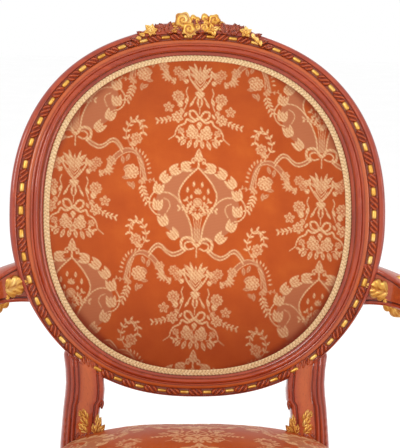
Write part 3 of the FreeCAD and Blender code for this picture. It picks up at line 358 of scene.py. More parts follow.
def varnished_mahogany(name, along):
    """Carved mahogany under brushed spirit varnish: red-brown, fine pores along the grain, a wet gloss.

    Growth bands are about 12 mm apart and pores 1 mm across by 11 mm long, coarser than life so that they show.
    One attribute darkens quirks and undercuts: painted shade, deepened a little by the old wax that gathers there.
    Another turns the flats towards orange above 0, as painted light, and the outer side towards plum below 0, as
    painted shade.
    """
    stretch = [1.0, 1.0, 1.0]
    stretch["XYZ".index(along)] = 0.1
    material, tree, space = start(name, stretch)
    bands = add(tree, "TexNoise", {"Vector": space, "Scale": 85.0, "Detail": 5.0, "Roughness": 0.6,
                                   "Distortion": 0.8})
    pores = add(tree, "TexNoise", {"Vector": space, "Scale": 900.0, "Detail": 2.0})
    cloud = add(tree, "TexNoise", {"Vector": space, "Scale": 14.0, "Detail": 2.0})
    wood = add(tree, "ValToRGB", {"Fac": bands}, ((0.28, "#842A0F"), (0.5, "#9F3814"), (0.72, "#B84C1E")))
    dark = add(tree, "ValToRGB", {"Fac": pores}, ((0.3, "#FFFFFF"), (0.42, "#000000")))
    tone, recess = (add(tree, "Attribute", attribute_name=key).outputs["Fac"] for key in ("tone", "recess"))
    plum = add(tree, "Math", {0: tone, 1: -1.0}, operation="MULTIPLY")
    # CC6A2C is painted light on the flats, #8A4240 painted shade on the outer side, #55190C painted shade in the
    # hollows with some old wax
    return end(
        material, wood,
        ((add(tree, "Math", {0: cloud, 1: 0.4}, operation="MULTIPLY"), "#9A3820"),
         (add(tree, "Math", {0: tone, 1: 0.0}, operation="MAXIMUM"), "#CC6A2C"),
         (add(tree, "Math", {0: plum, 1: 0.0}, operation="MAXIMUM"), "#8A4240"),
         (add(tree, "Math", {0: dark, 1: 0.35}, operation="MULTIPLY"), "#6E240E"),
         (recess, "#55190C")),
        (0.05, 0.0004, bands),
        Roughness=0.35, Coat_Weight=0.8, Coat_Roughness=0.05, Coat_IOR=1.5, Specular_IOR_Level=0.15,
    )


def gold_leaf():
    """Burnished leaf over red-brown bole: bright on the crowns; in the hollows the bole, as wear and painted shade.
    """
    material, tree, space = start("water_gilding")
    rub = add(tree, "TexNoise", {"Vector": space, "Scale": 260.0, "Detail": 4.0, "Roughness": 0.65})
    soft = add(tree, "TexNoise", {"Vector": space, "Scale": 60.0, "Detail": 2.0})
    gold = add(tree, "ValToRGB", {"Fac": soft}, ((0.3, "#CF9238"), (0.5, "#E2AE50"), (0.7, "#F2CC7C")))
    # Painted shade in the hollows, shown as bole colour and less metal, with some wear
    recess = add(tree, "Attribute", attribute_name="recess").outputs["Fac"]
    worn = add(tree, "Math", {0: rub, 1: 0.9, 2: -0.42}, operation="MULTIPLY_ADD")
    worn = add(tree, "Clamp", {"Value": add(tree, "Math", {0: worn, 1: recess}, operation="ADD")})
    metal = add(tree, "Math", {0: worn, 1: -0.75, 2: 0.88}, operation="MULTIPLY_ADD")
    rough = add(tree, "Math", {0: rub, 1: 0.22, 2: 0.24}, operation="MULTIPLY_ADD")
    return end(material, gold, ((worn, "#A04A16"),), (0.25, 0.0004, rub), Metallic=metal, Roughness=rough,
               Coat_Weight=0.15, Coat_Roughness=0.18)


def silk_lampas(name, figured=True):
    """Silk lampas: a rust satin ground with a cream figure bound in twill and a second, taupe weft.

    Ribs and warp are drawn 2 mm from one to the next, far coarser than silk, so that the cloth reads as woven.
    The pattern comes with the cloth as three values per point: figure, second and shade.
    """
    material, tree, cloth = start(name, cloth=True)
    ribs, warp = (add(tree, "TexWave", {"Vector": cloth, "Scale": fine, "Distortion": bent, "Detail": 1.0},
                      bands_direction=axis) for axis, fine, bent in (("Y", 145.0, 0.6), ("X", 170.0, 0.8)))
    cloud = add(tree, "TexNoise", {"Vector": cloth, "Scale": 22.0, "Detail": 3.0})
    ground = add(tree, "ValToRGB", {"Fac": cloud}, ((0.3, "#AE4A18"), (0.55, "#B8521B"), (0.75, "#C15C20")))
    layers = [(add(tree, "Math", {0: warp, 1: 0.16}, operation="MULTIPLY"), "#9A3E12")]
    second, figure, shade = (add(tree, "Attribute", attribute_name=key).outputs["Fac"]
                             for key in ("second", "figure", "shade"))
    if figured:
        twill = add(tree, "TexWave", {"Vector": cloth, "Scale": 110.0, "Distortion": 0.5},
                    bands_direction="DIAGONAL")
        slub = add(tree, "TexNoise", {"Vector": cloth, "Scale": 420.0, "Detail": 2.0})
        taupe = add(tree, "ValToRGB", {"Fac": ribs}, ((0.1, "#B36A44"), (0.9, "#B8704A")))
        cream = add(tree, "ValToRGB", {"Fac": twill}, ((0.15, "#D59A68"), (0.75, "#EFC694")))
        thread = add(tree, "ValToRGB", {"Fac": slub}, ((0.3, "#BE7C50"), (0.7, "#F0CC9C")))
        cream = add(tree, "Mix", {0: 0.4, 6: cream, 7: thread}, data_type="RGBA").outputs[2]
        layers += [(second, taupe), (figure, cream)]
    weave = add(tree, "Math", {0: ribs, 1: warp}, operation="ADD")
    return end(material, ground, layers + [(shade, "#6E2410")], (0.12, 0.0003, weave), Roughness=0.5,
               Sheen_Weight=0.04, Sheen_Roughness=0.35, Sheen_Tint="#F0A070", Specular_IOR_Level=0.12,
               Anisotropic=0.4)


def metal_braid():
    """Scroll gimp of beige silk with gilt thread: strands 1.5 mm wide, shaded in the gaps between the loops."""
    material, tree, space = start("gimp_braid")
    fleck = add(tree, "TexNoise", {"Vector": space, "Scale": 650.0, "Detail": 2.0, "Roughness": 0.5})
    silk = add(tree, "ValToRGB", {"Fac": fleck}, ((0.3, "#CDA46E"), (0.5, "#DFBB88"), (0.7, "#F0D6AA")))
    recess = add(tree, "Attribute", attribute_name="recess").outputs["Fac"]
    return end(material, silk, ((recess, "#84542C"),), (0.4, 0.0004, fleck), Roughness=0.55, Sheen_Weight=0.3,
               Sheen_Roughness=0.4)


def woven(name, dark, light, thread, roughness):
    """Plain woven cloth such as hessian, webbing or cotton: threads and gaps are each thread millimetres wide."""
    material, tree, space = start(name)
    fine = 1 / (thread * MM) / 6.3
    over, under, cross = (add(tree, "TexWave", {"Vector": space, "Scale": fine, "Distortion": 1.0, "Detail": 1.0},
                              bands_direction=axis) for axis in "XZY")
    both = add(tree, "Math", {0: over, 1: under}, operation="ADD")
    lifted = add(tree, "Math", {0: cross, 1: 0.4}, operation="ADD")
    net = add(tree, "Math", {0: both, 1: lifted}, operation="MULTIPLY")
    threads = add(tree, "ValToRGB", {"Fac": net}, ((0.1, dark), (0.9, light)))
    return end(material, threads, (), (0.4, 0.0005, net), Roughness=roughness, Sheen_Weight=0.15)


def plain_metal(name, dark, light, roughness):
    """Forged iron or pressed steel: grey, slightly uneven from scale and handling."""
    material, tree, space = start(name)
    scale = add(tree, "TexNoise", {"Vector": space, "Scale": 300.0, "Detail": 4.0})
    tint = add(tree, "ValToRGB", {"Fac": scale}, ((0.35, dark), (0.65, light)))
    rough = add(tree, "Math", {0: scale, 1: 0.3, 2: roughness - 0.15}, operation="MULTIPLY_ADD")
    return end(material, tint, (), (0.3, 0.0003, scale), Metallic=1.0, Roughness=rough)


def raw_beech():
    """Unfinished beech inside the seat frame: pale pinkish tan with short dark flecks, sawn and matt."""
    material, tree, space = start("sawn_beech", (0.12, 1, 1))
    bands = add(tree, "TexNoise", {"Vector": space, "Scale": 120.0, "Detail": 4.0})
    flecks = add(tree, "TexNoise", {"Vector": space, "Scale": 700.0, "Detail": 1.0})
    wood = add(tree, "ValToRGB", {"Fac": bands}, ((0.3, "#C29468"), (0.7, "#DDB488")))
    spots = add(tree, "ValToRGB", {"Fac": flecks}, ((0.32, "#FFFFFF"), (0.4, "#000000")))
    spots = add(tree, "Math", {0: spots, 1: 0.5}, operation="MULTIPLY")
    return end(material, wood, ((spots, "#8A5C36"),), (0.3, 0.0004, bands), Roughness=0.75)


MAHOGANY_UP = varnished_mahogany("varnished_mahogany_upright", "Z")
MAHOGANY_ACROSS = varnished_mahogany("varnished_mahogany_across", "X")
MAHOGANY_DEEP = varnished_mahogany("varnished_mahogany_fore_and_aft", "Y")
GILDING = gold_leaf()
LAMPAS = silk_lampas("silk_lampas")
PLAIN_SILK = silk_lampas("plain_silk_satin", figured=False)
BRAID = metal_braid()
BEECH = raw_beech()
WEBBING = woven("jute_webbing", "#7A5A34", "#B8925C", 2.2, 0.85)
HESSIAN = woven("jute_hessian", "#6E5230", "#A88858", 1.4, 0.9)
COTTON = woven("black_cotton", "#0E0D0D", "#232122", 0.8, 0.9)
HORSEHAIR = woven("curled_horsehair", "#1A1410", "#3C3028", 3.0, 0.8)
IRON = plain_metal("cut_iron", "#2A2725", "#4A4440", 0.55)
STEEL = plain_metal("pressed_steel", "#8A8C8E", "#B8BABC", 0.35)

for nodes, finish in (
    (("seat_webbing_lengthwise", "seat_webbing_crosswise", "back_webbing_vertical", "back_webbing_horizontal"),
     WEBBING),
    (("seat_hessian", "back_hessian"), HESSIAN),
    (("dust_cover",), COTTON),
    (("corner_blocks", "arm_tongues", "medallion_tongues"), BEECH),
    (("corner_block_nails",), IRON),
    (("glides",), STEEL),
    (("left_arm_pad_stuffing", "right_arm_pad_stuffing", "back_stuffing", "seat_stuffing"), HORSEHAIR),
    (("back_cover", "seat_cover", "left_arm_pad_cover", "right_arm_pad_cover"), LAMPAS),
    (("outside_back_panel",), PLAIN_SILK),
    (("back_gimp", "seat_gimp", "outside_back_gimp"), BRAID),
    (("crest_rail", "back_bottom_rail", "front_seat_rail", "rear_seat_rail"), MAHOGANY_ACROSS),
    (("left_arm", "right_arm", "left_seat_rail", "right_seat_rail"), MAHOGANY_DEEP),
    (("left_arm_post", "right_arm_post", "left_back_stile", "right_back_stile", "ribbon_wraps"), MAHOGANY_UP),
    (("left_front_leg", "right_front_leg"), MAHOGANY_UP),
    (("ribbon_sticks", "leg_rosettes", "crest_roses", "crest_leaves", "left_crest_flower", "right_crest_flower",
      "arm_leaves", "upright_leaves"), GILDING),
):
    for node in nodes:
        NODES[node].data.materials.clear()
        NODES[node].data.materials.append(finish)


# The lampas design: one motif, drawn on a board and set half-drop over the cloth
#
# Motif coordinates are in points of 1.42 mm, x across and y up from the knot of the great bow.

POINT = 1.42
REPEAT_ACROSS, REPEAT_UP = 125.0, 204.0
BOARD_HALF = 100.0
BOARD_LOW = -112.0
FINENESS = 3


class Board:
    """The drawing board: layers of 0 to 1 on a grid of FINENESS steps per point, painted on the right half."""

    def __init__(self):
        self.x = (np.arange(int(2 * BOARD_HALF * FINENESS)) + 0.5) / FINENESS - BOARD_HALF
        self.y = (np.arange(int(260 * FINENESS)) + 0.5) / FINENESS + BOARD_LOW
        self.figure = np.zeros((len(self.x), len(self.y)))
        self.second = np.zeros((len(self.x), len(self.y)))

    def window(self, low, high):
        """The board's cells between two corners, as slices and their coordinates."""
        i = np.searchsorted(self.x, (low[0], high[0]))
        j = np.searchsorted(self.y, (low[1], high[1]))
        x, y = np.meshgrid(self.x[i[0]:i[1]], self.y[j[0]:j[1]], indexing="ij")
        return (slice(*i), slice(*j)), x, y

    def put(self, layer, cells, ink):
        """Lays ink over a layer, keeping the darker value; ink below 0 rubs out."""
        held = getattr(self, layer)
        held[cells] = np.where(ink >= 0, np.maximum(held[cells], ink), held[cells] * (1 + ink))

    def petal(self, x0, y0, angle, length, width, layer="figure", ink=1.0, vein=0.0, belly=0.5):
        """A pointed petal from its foot, half as wide as w/2 sin(pi s^k), k moving its belly; vein rubs a midrib."""
        turn = math.radians(angle)
        c, s = math.cos(turn), math.sin(turn)
        reach = length + width
        cells, x, y = self.window((x0 - reach, y0 - reach), (x0 + reach, y0 + reach))
        along = ((x - x0) * c + (y - y0) * s) / length
        off = (y - y0) * c - (x - x0) * s
        inside = np.clip(along, 0, 1) ** (math.log(0.5) / math.log(belly))
        half = width / 2 * np.sin(math.pi * inside) ** 0.8
        edge = np.where((along > 0) & (along < 1), half - np.abs(off), -1)
        self.put(layer, cells, ink * np.clip(edge * 2.2 + 0.4, 0, 1) * (edge > -0.5))
        if vein:
            line = (np.abs(off) < 0.28 + 0.1 * width) & (along > 0.12) & (along < 0.8)
            self.put(layer, cells, -vein * line * (edge > 0.2))

    def stroke(self, points, width, layer="figure", ink=1.0, taper=False, count=40):
        """A smooth line of a given width through control points, thinner towards its end if tapered."""
        line = spline(points, count)
        cells, x, y = self.window(line.min(0) - width - 1, line.max(0) + width + 1)
        near = np.full(x.shape, 1e9)
        for k, (a, b) in enumerate(zip(line[:-1], line[1:])):
            d = b - a
            t = np.clip(((x - a[0]) * d[0] + (y - a[1]) * d[1]) / max(d @ d, 1e-9), 0, 1)
            thin = width / 2 * ((1 - 0.75 * k / count) if taper else 1)
            near = np.minimum(near, np.hypot(x - a[0] - t * d[0], y - a[1] - t * d[1]) - thin)
        self.put(layer, cells, ink * np.clip(0.5 - near * 2.2, 0, 1))

    def disc(self, x0, y0, radius, layer="figure", ink=1.0, bore=0.0):
        """A disc, or a ring with a bore."""
        cells, x, y = self.window((x0 - radius - 1, y0 - radius - 1), (x0 + radius + 1, y0 + radius + 1))
        r = np.hypot(x - x0, y - y0)
        self.put(layer, cells, ink * np.clip(0.5 + np.minimum(radius - r, r - bore if bore else 9) * 2.2, 0, 1))

    def area(self, points, layer="second", ink=1.0):
        """A filled outline, by counting how often a ray to the right crosses it."""
        line = np.asarray(points, float)
        cells, x, y = self.window(line.min(0), line.max(0))
        odd = np.zeros(x.shape, bool)
        for a, b in zip(line, np.roll(line, -1, axis=0)):
            if a[1] != b[1]:
                crosses = (a[1] > y) != (b[1] > y)
                odd ^= crosses & (x < a[0] + (y - a[1]) / (b[1] - a[1]) * (b[0] - a[0]))
        self.put(layer, cells, ink * odd)

    def tulip(self, x0, y0, angle, size=1.0):
        """A husk of the garland: a round base that opens into three veined points."""
        turn = math.radians(angle)
        c, s = math.cos(turn), math.sin(turn)
        for side, spread, length in ((-1, 13, 12.6), (1, 13, 12.6), (0, 0, 11)):
            foot = (x0 - 6 * size * c + side * 1.5 * size * -s, y0 - 6 * size * s + side * 1.5 * size * c)
            self.petal(*foot, angle + side * spread, length * size, 5.4 * size, belly=0.36)
        for side in (-1, 0, 1):
            foot = np.array((x0 - 3.6 * size * c - side * 1.5 * size * s,
                             y0 - 3.6 * size * s + side * 1.5 * size * c))
            tip = foot + np.array((c * 6.4 - s * side * 1.5, s * 6.4 + c * side * 1.5)) * size
            self.stroke((foot, tip), 0.55, ink=-0.75, count=4)

    def flower(self, x0, y0, radius, petals=7, turn=0.0, ink=1.0, layer="figure"):
        """A small open flower: pointed petals round a ringed heart."""
        for k in range(petals):
            self.petal(x0, y0, turn + 360 / petals * k, radius, radius * 0.62, layer, ink, vein=0.5, belly=0.6)
        self.disc(x0, y0, radius * 0.33, layer, -0.8)
        self.disc(x0, y0, radius * 0.2, layer, ink)

    def rose(self, x0, y0, radius, ink=1.0):
        """A full rose: an outer round of cupped petals, an inner round turned by half a petal, and its heart."""
        for count, reach, size, turn in ((8, 0.78, 0.34, 10), (6, 0.42, 0.27, 35)):
            for k in range(count):
                a = math.radians(turn + 360 / count * k)
                px, py = x0 + radius * reach * math.cos(a), y0 + radius * reach * math.sin(a)
                self.disc(px, py, radius * size, ink=ink)
                self.disc(px, py, radius * size * 0.55, ink=-0.55)
        self.disc(x0, y0, radius * 0.2, ink=ink)

    def spray(self, points, leaves, length, width, layer="figure", ink=1.0, spread=48, stem=0.7):
        """A stem with pairs of small leaves, which lean towards its tip."""
        line = spline(points, 60)
        self.stroke(points, stem, layer, ink)
        for k in range(leaves):
            n = min(int((k + 0.7) / leaves * 59), 58)
            d = line[n + 1] - line[n]
            along = math.degrees(math.atan2(d[1], d[0]))
            for side in (-1, 1):
                self.petal(*line[n], along + side * spread, length, width, layer, ink)

    def fan(self, x0, y0, start, end, count, length, width, ink=1.0, layer="figure", vein=0.0):
        """Petals spread evenly between two directions, the middle ones longest."""
        for k in range(count):
            share = k / (count - 1)
            reach = length * (0.75 + 0.25 * math.sin(math.pi * share))
            self.petal(x0, y0, start + (end - start) * share, reach, width, layer, ink, vein)


def draw_medallion(board):
    """The ogee frame in its garland of husks: finial, nine husks a side, taupe field and the inner posy."""
    field = [(0, 79), (11, 77), (23, 73), (34, 64), (40, 53), (43, 40), (39, 25), (31, 15), (22, 8), (10, 4),
             (0, 3)]
    board.area(field + [(-x, y) for x, y in field[-2:0:-1]])
    board.area(spline([(0, 79), (8, 71), (14, 63.5), (18.5, 55), (19, 48), (16, 41), (10, 29.5), (5, 19), (0, 17)],
                      40).tolist()
               + spline([(0, 17), (-5, 19), (-10, 29.5), (-16, 41), (-19, 48), (-18.5, 55), (-14, 63.5), (-8, 71),
                         (0, 79)], 40).tolist(), ink=-1.0)
    board.stroke(((0, 79), (8, 71), (14, 63.5), (18.5, 55), (19, 48), (16, 40), (10, 29), (6, 18), (4, 4)), 1.5)
    board.stroke(((36, 51), (29, 50.5), (22.5, 47), (17, 41)), 1.2)
    board.stroke(((44, 51), (48.5, 43), (48, 35), (43, 29), (38, 27.5)), 1.3)
    board.stroke(((34, 45), (29.5, 42.5), (28, 37.5), (31, 31)), 1.1, ink=0.75)
    for x, y, angle in ((12, 79, 176), (23.5, 74.5, 150), (33.5, 66, 131), (40, 54.5, 108), (40.5, 38, 96),
                        (34.5, 22.5, 68), (24, 9.5, 48)):
        board.tulip(x, y, angle)
    board.petal(0, 87.5, 90, 11, 6.5, vein=0.6, belly=0.35)
    board.fan(0, 86, 28, 152, 5, 7.5, 3.4, vein=0.4)
    board.stroke(((0.5, 79), (0.5, 86), (3, 88.5), (6.3, 87.5), (6.8, 84.2), (4.6, 83.2), (4, 85)), 1.1)
    board.disc(4.9, 84.4, 1.3, ink=0.9)


def draw_posy(board):
    """The small bouquet inside the ogee: buds, sprigs and a round rose over three stems."""
    for x, y, length in ((4.2, 59, 6), (10.4, 52.5, 6.5), (6.5, 46.5, 4.8)):
        board.petal(x, y, 90, length, 2.6)
        board.petal(x, y + 0.5, 68, 3, 1.6)
    board.fan(0, 52, 35, 145, 5, 6.5, 2.6, ink=0.8)
    board.disc(0, 43.5, 3.4, ink=0.75)
    board.disc(0, 43.5, 4.6, bore=3.9)
    board.spray(((1, 36), (6, 40), (12, 46)), 3, 4.2, 2.2)
    board.spray(((2, 35), (10, 37.5), (19, 36.5)), 4, 4.4, 2.2)
    board.spray(((1, 28), (5, 33), (11, 34)), 3, 3.8, 2.0)
    for x in (1.6, 4.8):
        board.stroke(((x * 0.45, 4), (x * 0.55, 18), (x, 33)), 0.8, ink=0.85)
    board.fan(0, 26, 55, 125, 3, 7, 2.4)


def draw_bow(board):
    """The great bow: two loops a side, a round knot, and a double-edged streamer that waves outwards."""
    board.stroke(((2, 1), (5, 6), (10.5, 7.4), (15.3, 4), (15, -2.5), (11.5, -5.5)), 2.6)
    board.stroke(((2, 0), (6, 3.2), (11, 2), (12, -1.5), (8.5, -4.6), (3, -3)), 1.5)
    board.stroke(((4, 1.2), (8, 5.2), (13, 3), (13, -1.5)), 0.6, ink=-0.6)
    board.disc(0, 0, 2.1)
    streamer = np.array(((12, -4.5), (17, -8.5), (24, -11), (30, -8.5), (35, -4), (40, -3.2), (45, -8), (48, -13)))
    board.stroke(streamer, 4.4, layer="second", ink=0.9)
    board.stroke(streamer + (0.3, 1.7), 1.2)
    board.stroke(streamer - (0.3, 1.7), 1.2)
    board.stroke(((0, -2), (0, -12)), 1.1)


def draw_plume(board):
    """The plume under the bow: sprigs, curling fronds, nested chevrons and a skirt of petals, then the lyre."""
    board.fan(0, -35, 32, 90, 4, 20, 2.9, vein=0.3)
    board.fan(3, -27, 40, 75, 2, 13, 2.2)
    for reach, top in ((17.5, -27), (13.5, -24.5)):
        board.stroke(((0.8, -46), (6, -40), (11, -32), (reach * 0.85, top), (reach, top - 2.5)), 1.5)
    board.fan(13, -30, -20, 75, 5, 6.5, 2.8, vein=0.3)
    board.fan(12, -38, -15, 65, 4, 5.5, 2.2)
    for k in range(4):
        board.stroke(((0, -45 + 3.4 * k), (3.8, -40.5 + 3.4 * k), (6.5 - k, -36 + 3.6 * k)), 1.0)
    board.petal(0, -38, 90, 9, 3, vein=0.5)
    board.fan(0, -47, -165, -15, 9, 7.2, 2.0)
    board.stroke(((12.5, -43), (14, -48), (12, -55), (13.6, -61), (15.5, -66)), 1.0)
    board.petal(12.2, -53, -68, 8, 2.8)
    board.stroke(((4.5, -53), (7, -57), (10, -63)), 1.6, taper=True)
    board.petal(5.8, -56, -58, 8.5, 2.6)
    board.petal(0, -64, 90, 12.5, 6.4, vein=0.95)
    board.stroke(((0, -64), (0, -70)), 0.8)


def draw_wreath(board):
    """The wreath below: flowers and sprays at the side, a second bow, wavy tails and the basket of roses."""
    board.flower(22, -53.5, 6.6, 9, ink=0.85)
    board.flower(31.5, -65.5, 5.8, 5, 90, ink=0.85)
    board.flower(22.5, -75, 6.2, 6, 20)
    board.fan(17, -62, -30, 60, 5, 6.5, 2.4)
    board.fan(16, -67, -70, 10, 4, 6, 2.2, vein=0.4)
    board.petal(12.5, -69, -58, 6.5, 2.6)
    board.spray(((27, -75), (34, -79), (43, -81)), 4, 4.6, 1.9)
    board.flower(37, -24, 5.4, 7, 12, ink=0.75)
    board.flower(22.5, -27, 5.6, 7, ink=0.7)
    board.flower(18.5, -33, 4.4, 6, ink=0.7)
    board.fan(25, -38, -60, 80, 5, 5.6, 2.0, ink=0.8)
    board.stroke(((1, -73.5), (5, -67.6), (9.8, -68), (9.4, -73), (5, -76), (1, -74)), 2.0)
    board.stroke(((2.6, -72), (6.4, -69.4), (8.2, -72)), 0.5, ink=-0.5)
    board.disc(0, -74, 1.8)
    board.stroke(((1, -75), (7, -78.5), (12.5, -76.5), (15, -81), (21, -84.5), (24, -90), (25, -94), (31, -99)),
                 2.5, taper=True, count=60)
    board.fan(0, -78, -125, -55, 5, 6.5, 1.8)
    board.petal(0, -78, -90, 8.5, 2.8)
    board.rose(7, -90, 5.9)
    board.disc(0, -95.5, 3.6, ink=0.85)
    board.disc(0, -95.5, 1.8, ink=-0.6)
    board.fan(8, -86, 30, 150, 6, 5, 2.4)
    board.flower(18.6, -89, 3.8, 6, 15, ink=0.9)
    board.spray(((12, -96), (17, -95), (21, -97)), 2, 5, 2.4)
    for x, angle, length in ((2.5, -80, 8.5), (8, -68, 10), (13.5, -52, 8.5)):
        board.petal(x, -97, angle, length, 4.2, vein=0.5)


def draw_branch(board):
    """Between the columns: a horn-shaped scroll with its comb of petals, a rose in leaves and two sprays."""
    horn = np.array(((91, 71), (86, 80), (79, 87), (71, 90.5), (63, 88), (58, 80), (55.5, 70), (54, 63)))
    width = 4.6
    board.stroke(horn, width, layer="second", ink=0.95)
    board.stroke(horn + (1.2, 1.8), 0.9, ink=0.75)
    board.stroke(horn - (1.4, 1.9), 0.9, ink=0.75)
    board.stroke(((62, 84), (58.8, 74), (58.5, 64)), 1.0, ink=0.8)
    for k, (x, y) in enumerate(spline(((66, 91), (58, 87), (53.5, 79), (51.5, 69)), 9)):
        board.petal(x, y, 62 + 14 * k, 4.6, 1.8, ink=0.85)
    board.fan(93, 70, 120, 300, 7, 8.5, 2.6, ink=0.75)
    board.flower(63.5, 103, 6.2, 8, ink=0.8)
    board.fan(67, 95, 20, 160, 5, 5.2, 2.0, ink=0.8)
    board.spray(((70, 97), (74, 106), (72, 115), (68, 121)), 4, 5.6, 2.2)
    board.spray(((68, 121), (62, 122), (57.5, 117), (57, 108)), 4, 5.8, 2.2)
    board.rose(67.5, 69, 6.8, ink=0.95)
    for x, y, angle in ((76, 76, 80), (76, 70, 140), (77, 62, 175), (72, 58, 215), (66, 59, 265), (73, 79, 110)):
        board.petal(x, y, angle, 8.5, 4.4, layer="second", ink=0.8)
        board.petal(x, y, angle, 8, 3.4, ink=0.55, vein=0.8)
    board.fan(58, 62, 150, 290, 5, 6.5, 3.0, ink=0.6)
    board.spray(((57.5, 58), (55, 49), (50.5, 39)), 5, 5.6, 2.1)
    board.spray(((53, 62), (48.5, 61.5), (44.5, 62.5)), 2, 3, 1.4, ink=0.7)


def lampas_board():
    """The finished drawing, mirrored about the column's axis as the loom does, and softened by the thread."""
    board = Board()
    for draw in (draw_medallion, draw_posy, draw_bow, draw_plume, draw_wreath, draw_branch):
        draw(board)
    for layer in ("figure", "second"):
        held = getattr(board, layer)
        right = np.where(board.x[:, None] > 0, held, 0)
        held[:] = np.maximum(right, right[::-1])
        near = np.pad(held, 1, mode="edge")
        held[:] = 0.6 * held + 0.1 * (near[:-2, 1:-1] + near[2:, 1:-1] + near[1:-1, :-2] + near[1:-1, 2:])
    return board


BOARD = lampas_board()


def lampas(x, y):
    """Figure and second weft at cloth points in mm from the middle bow's knot, in a half-drop repeat."""
    u, v = np.asarray(x, float) / POINT, np.asarray(y, float) / POINT
    found = [np.zeros(u.shape), np.zeros(u.shape)]
    column = np.round(u / REPEAT_ACROSS)
    for step in (-1, 0, 1):
        k = column + step
        a = u - k * REPEAT_ACROSS
        b = v - (k % 2) * REPEAT_UP / 2
        for turn in (0, 1):
            c = (b - BOARD_LOW) % REPEAT_UP + BOARD_LOW + turn * REPEAT_UP
            i = (a + BOARD_HALF) * FINENESS - 0.5
            j = (c - BOARD_LOW) * FINENESS - 0.5
            inside = (i >= 0) & (i < len(BOARD.x) - 1.01) & (j >= 0) & (j < len(BOARD.y) - 1.01)
            i, j = np.where(inside, i, 0), np.where(inside, j, 0)
            i0, j0 = i.astype(int), j.astype(int)
            fi, fj = i - i0, j - j0
            for n, layer in enumerate((BOARD.figure, BOARD.second)):
                got = (layer[i0, j0] * (1 - fi) * (1 - fj) + layer[i0 + 1, j0] * fi * (1 - fj)
                       + layer[i0, j0 + 1] * (1 - fi) * fj + layer[i0 + 1, j0 + 1] * fi * fj)
                found[n] = np.maximum(found[n], got * inside)
    return found


# The medallion: moulding, ribbon and stick


QUIRK_SHADE = 0.62


def moulding_section():
    """The moulding's section from the cover's rebate round to the back, as (out, height, painted shade) rows in mm.

    Fillet, quirk, great bead with a second small one, a canted flat, the ribbon channel and the rounded side.
    The shade is darkest in the quirks, at the rebate and in the channel.
    """
    floor, back = CHANNEL_FLOOR, -BACK_THICKNESS
    rows = [(0, -12, 0.3), (0, -4, 0.3), (0, 5.6, 0.9), (0.4, 6.6, 0.5), (2.0, 7.4, 0.05), (4.2, 8.2, 0.05),
            (5.2, 8.1, 0.9), (5.7, 8.5, 0.9)]
    rows += [(x, y, 0.0) for x, y in arc((9.6, 11.8), 4.1, 210, 20, 10)]
    rows += [(13.9, 12.2, 0.9)]
    rows += [(x, y, 0.0) for x, y in arc((15.5, 11.9), 1.9, 170, 15, 6)]
    rows += [(17.7, 11.2, 0.8), (18.4, 11.2, 0.1), (21.0, 11.0, 0.0), (23.2, 10.2, 0.0), (24.1, 9.2, 0.1),
             (24.5, 7.6, 0.8), (25.1, floor, 1.0), (28.0, floor, 0.7), (31.0, floor, 0.7), (34.0, floor, 0.7),
             (36.9, floor, 1.0), (37.5, 7.6, 0.8), (CHANNEL_END, 9.0, 0.1)]
    rows += [(x, y, 0.0) for x, y in arc((39.6, 2.0), 7.4, 97, 4, 9)]
    rows += [(47.0, -3.0, 0.0), (46.8, -8.0, 0.0), (46.2, -12.0, 0.1), (44.6, -16.5, 0.1), (42.4, -19.0, 0.1),
             (39.5, back, 0.1), (30.0, back, 0.0), (12.0, back, 0.0), (2.0, back, 0.1), (0.3, -19.4, 0.2)]
    return np.array(rows) * (1, 1, QUIRK_SHADE)


SECTION = moulding_section()


def moulding_length(piece, start, end, step=3.2, crest=False):
    """The moulding between two polar angles, section by section along the oval, closed at both ends."""
    angle = np.linspace(start, end, 1400)
    x, y = sight(angle, 30)
    run = run_length(x, y)
    angle = np.interp(np.linspace(0, run[-1], int(run[-1] / step)), run, angle)[:, None]
    out, height, recess = SECTION.T
    bench = on_moulding(angle, out, height)
    if crest:
        bench = crest_hump(bench, out, height)
    # Painted light on the canted flat, painted shade on the outer side
    tone = 0.5 * bell(out - 21, 3.5) * (height > 6) - 0.55 * smooth(41, 45, out) * smooth(-19, -15, height)
    piece.grid(hang(bench), round_j=True, caps=True, recess=recess, tone=tone)


def crest_hump(bench, out, height):
    """Over the crest the outer side of the moulding rises by a low hump, from which the flowers are carved."""
    x = bench[..., 0]
    swell = 14 * bell(x, 58) + 4.5 * bell(np.abs(x) - 62, 14)
    bench = bench.copy()
    bench[..., 1] += swell * smooth(38.5, 47, out)
    bench[..., 2] += 4.0 * swell / 15 * smooth(39, 43, out) * smooth(-12, 0, height)
    return bench


def seat_on_channel(angle, out, height):
    """Middle, along, across and up at a place in the ribbon channel, in bench coordinates."""
    middle = on_moulding(angle, out, height)
    along = unit(on_moulding(angle - 0.01, out, height) - on_moulding(angle + 0.01, out, height))
    across = unit(on_moulding(angle, out + 1, height) - on_moulding(angle, out - 1, height))
    return middle, along, across, unit(np.cross(across, along)) * -1


def in_place(seat, along, across, up):
    """Puts local coordinates into bench space at a seat."""
    middle, a, b, c = seat
    return middle + along[..., None] * a + across[..., None] * b + up[..., None] * c


STICKS, STICK_SHARE, STICK_RADIUS, STICK_HEIGHT = 50, 0.215, 3.7, 4.1
RIBBON_SHARE, RIBBON_HALF_WIDTH, RIBBON_TURNS = 0.3, 6.3, 2.5


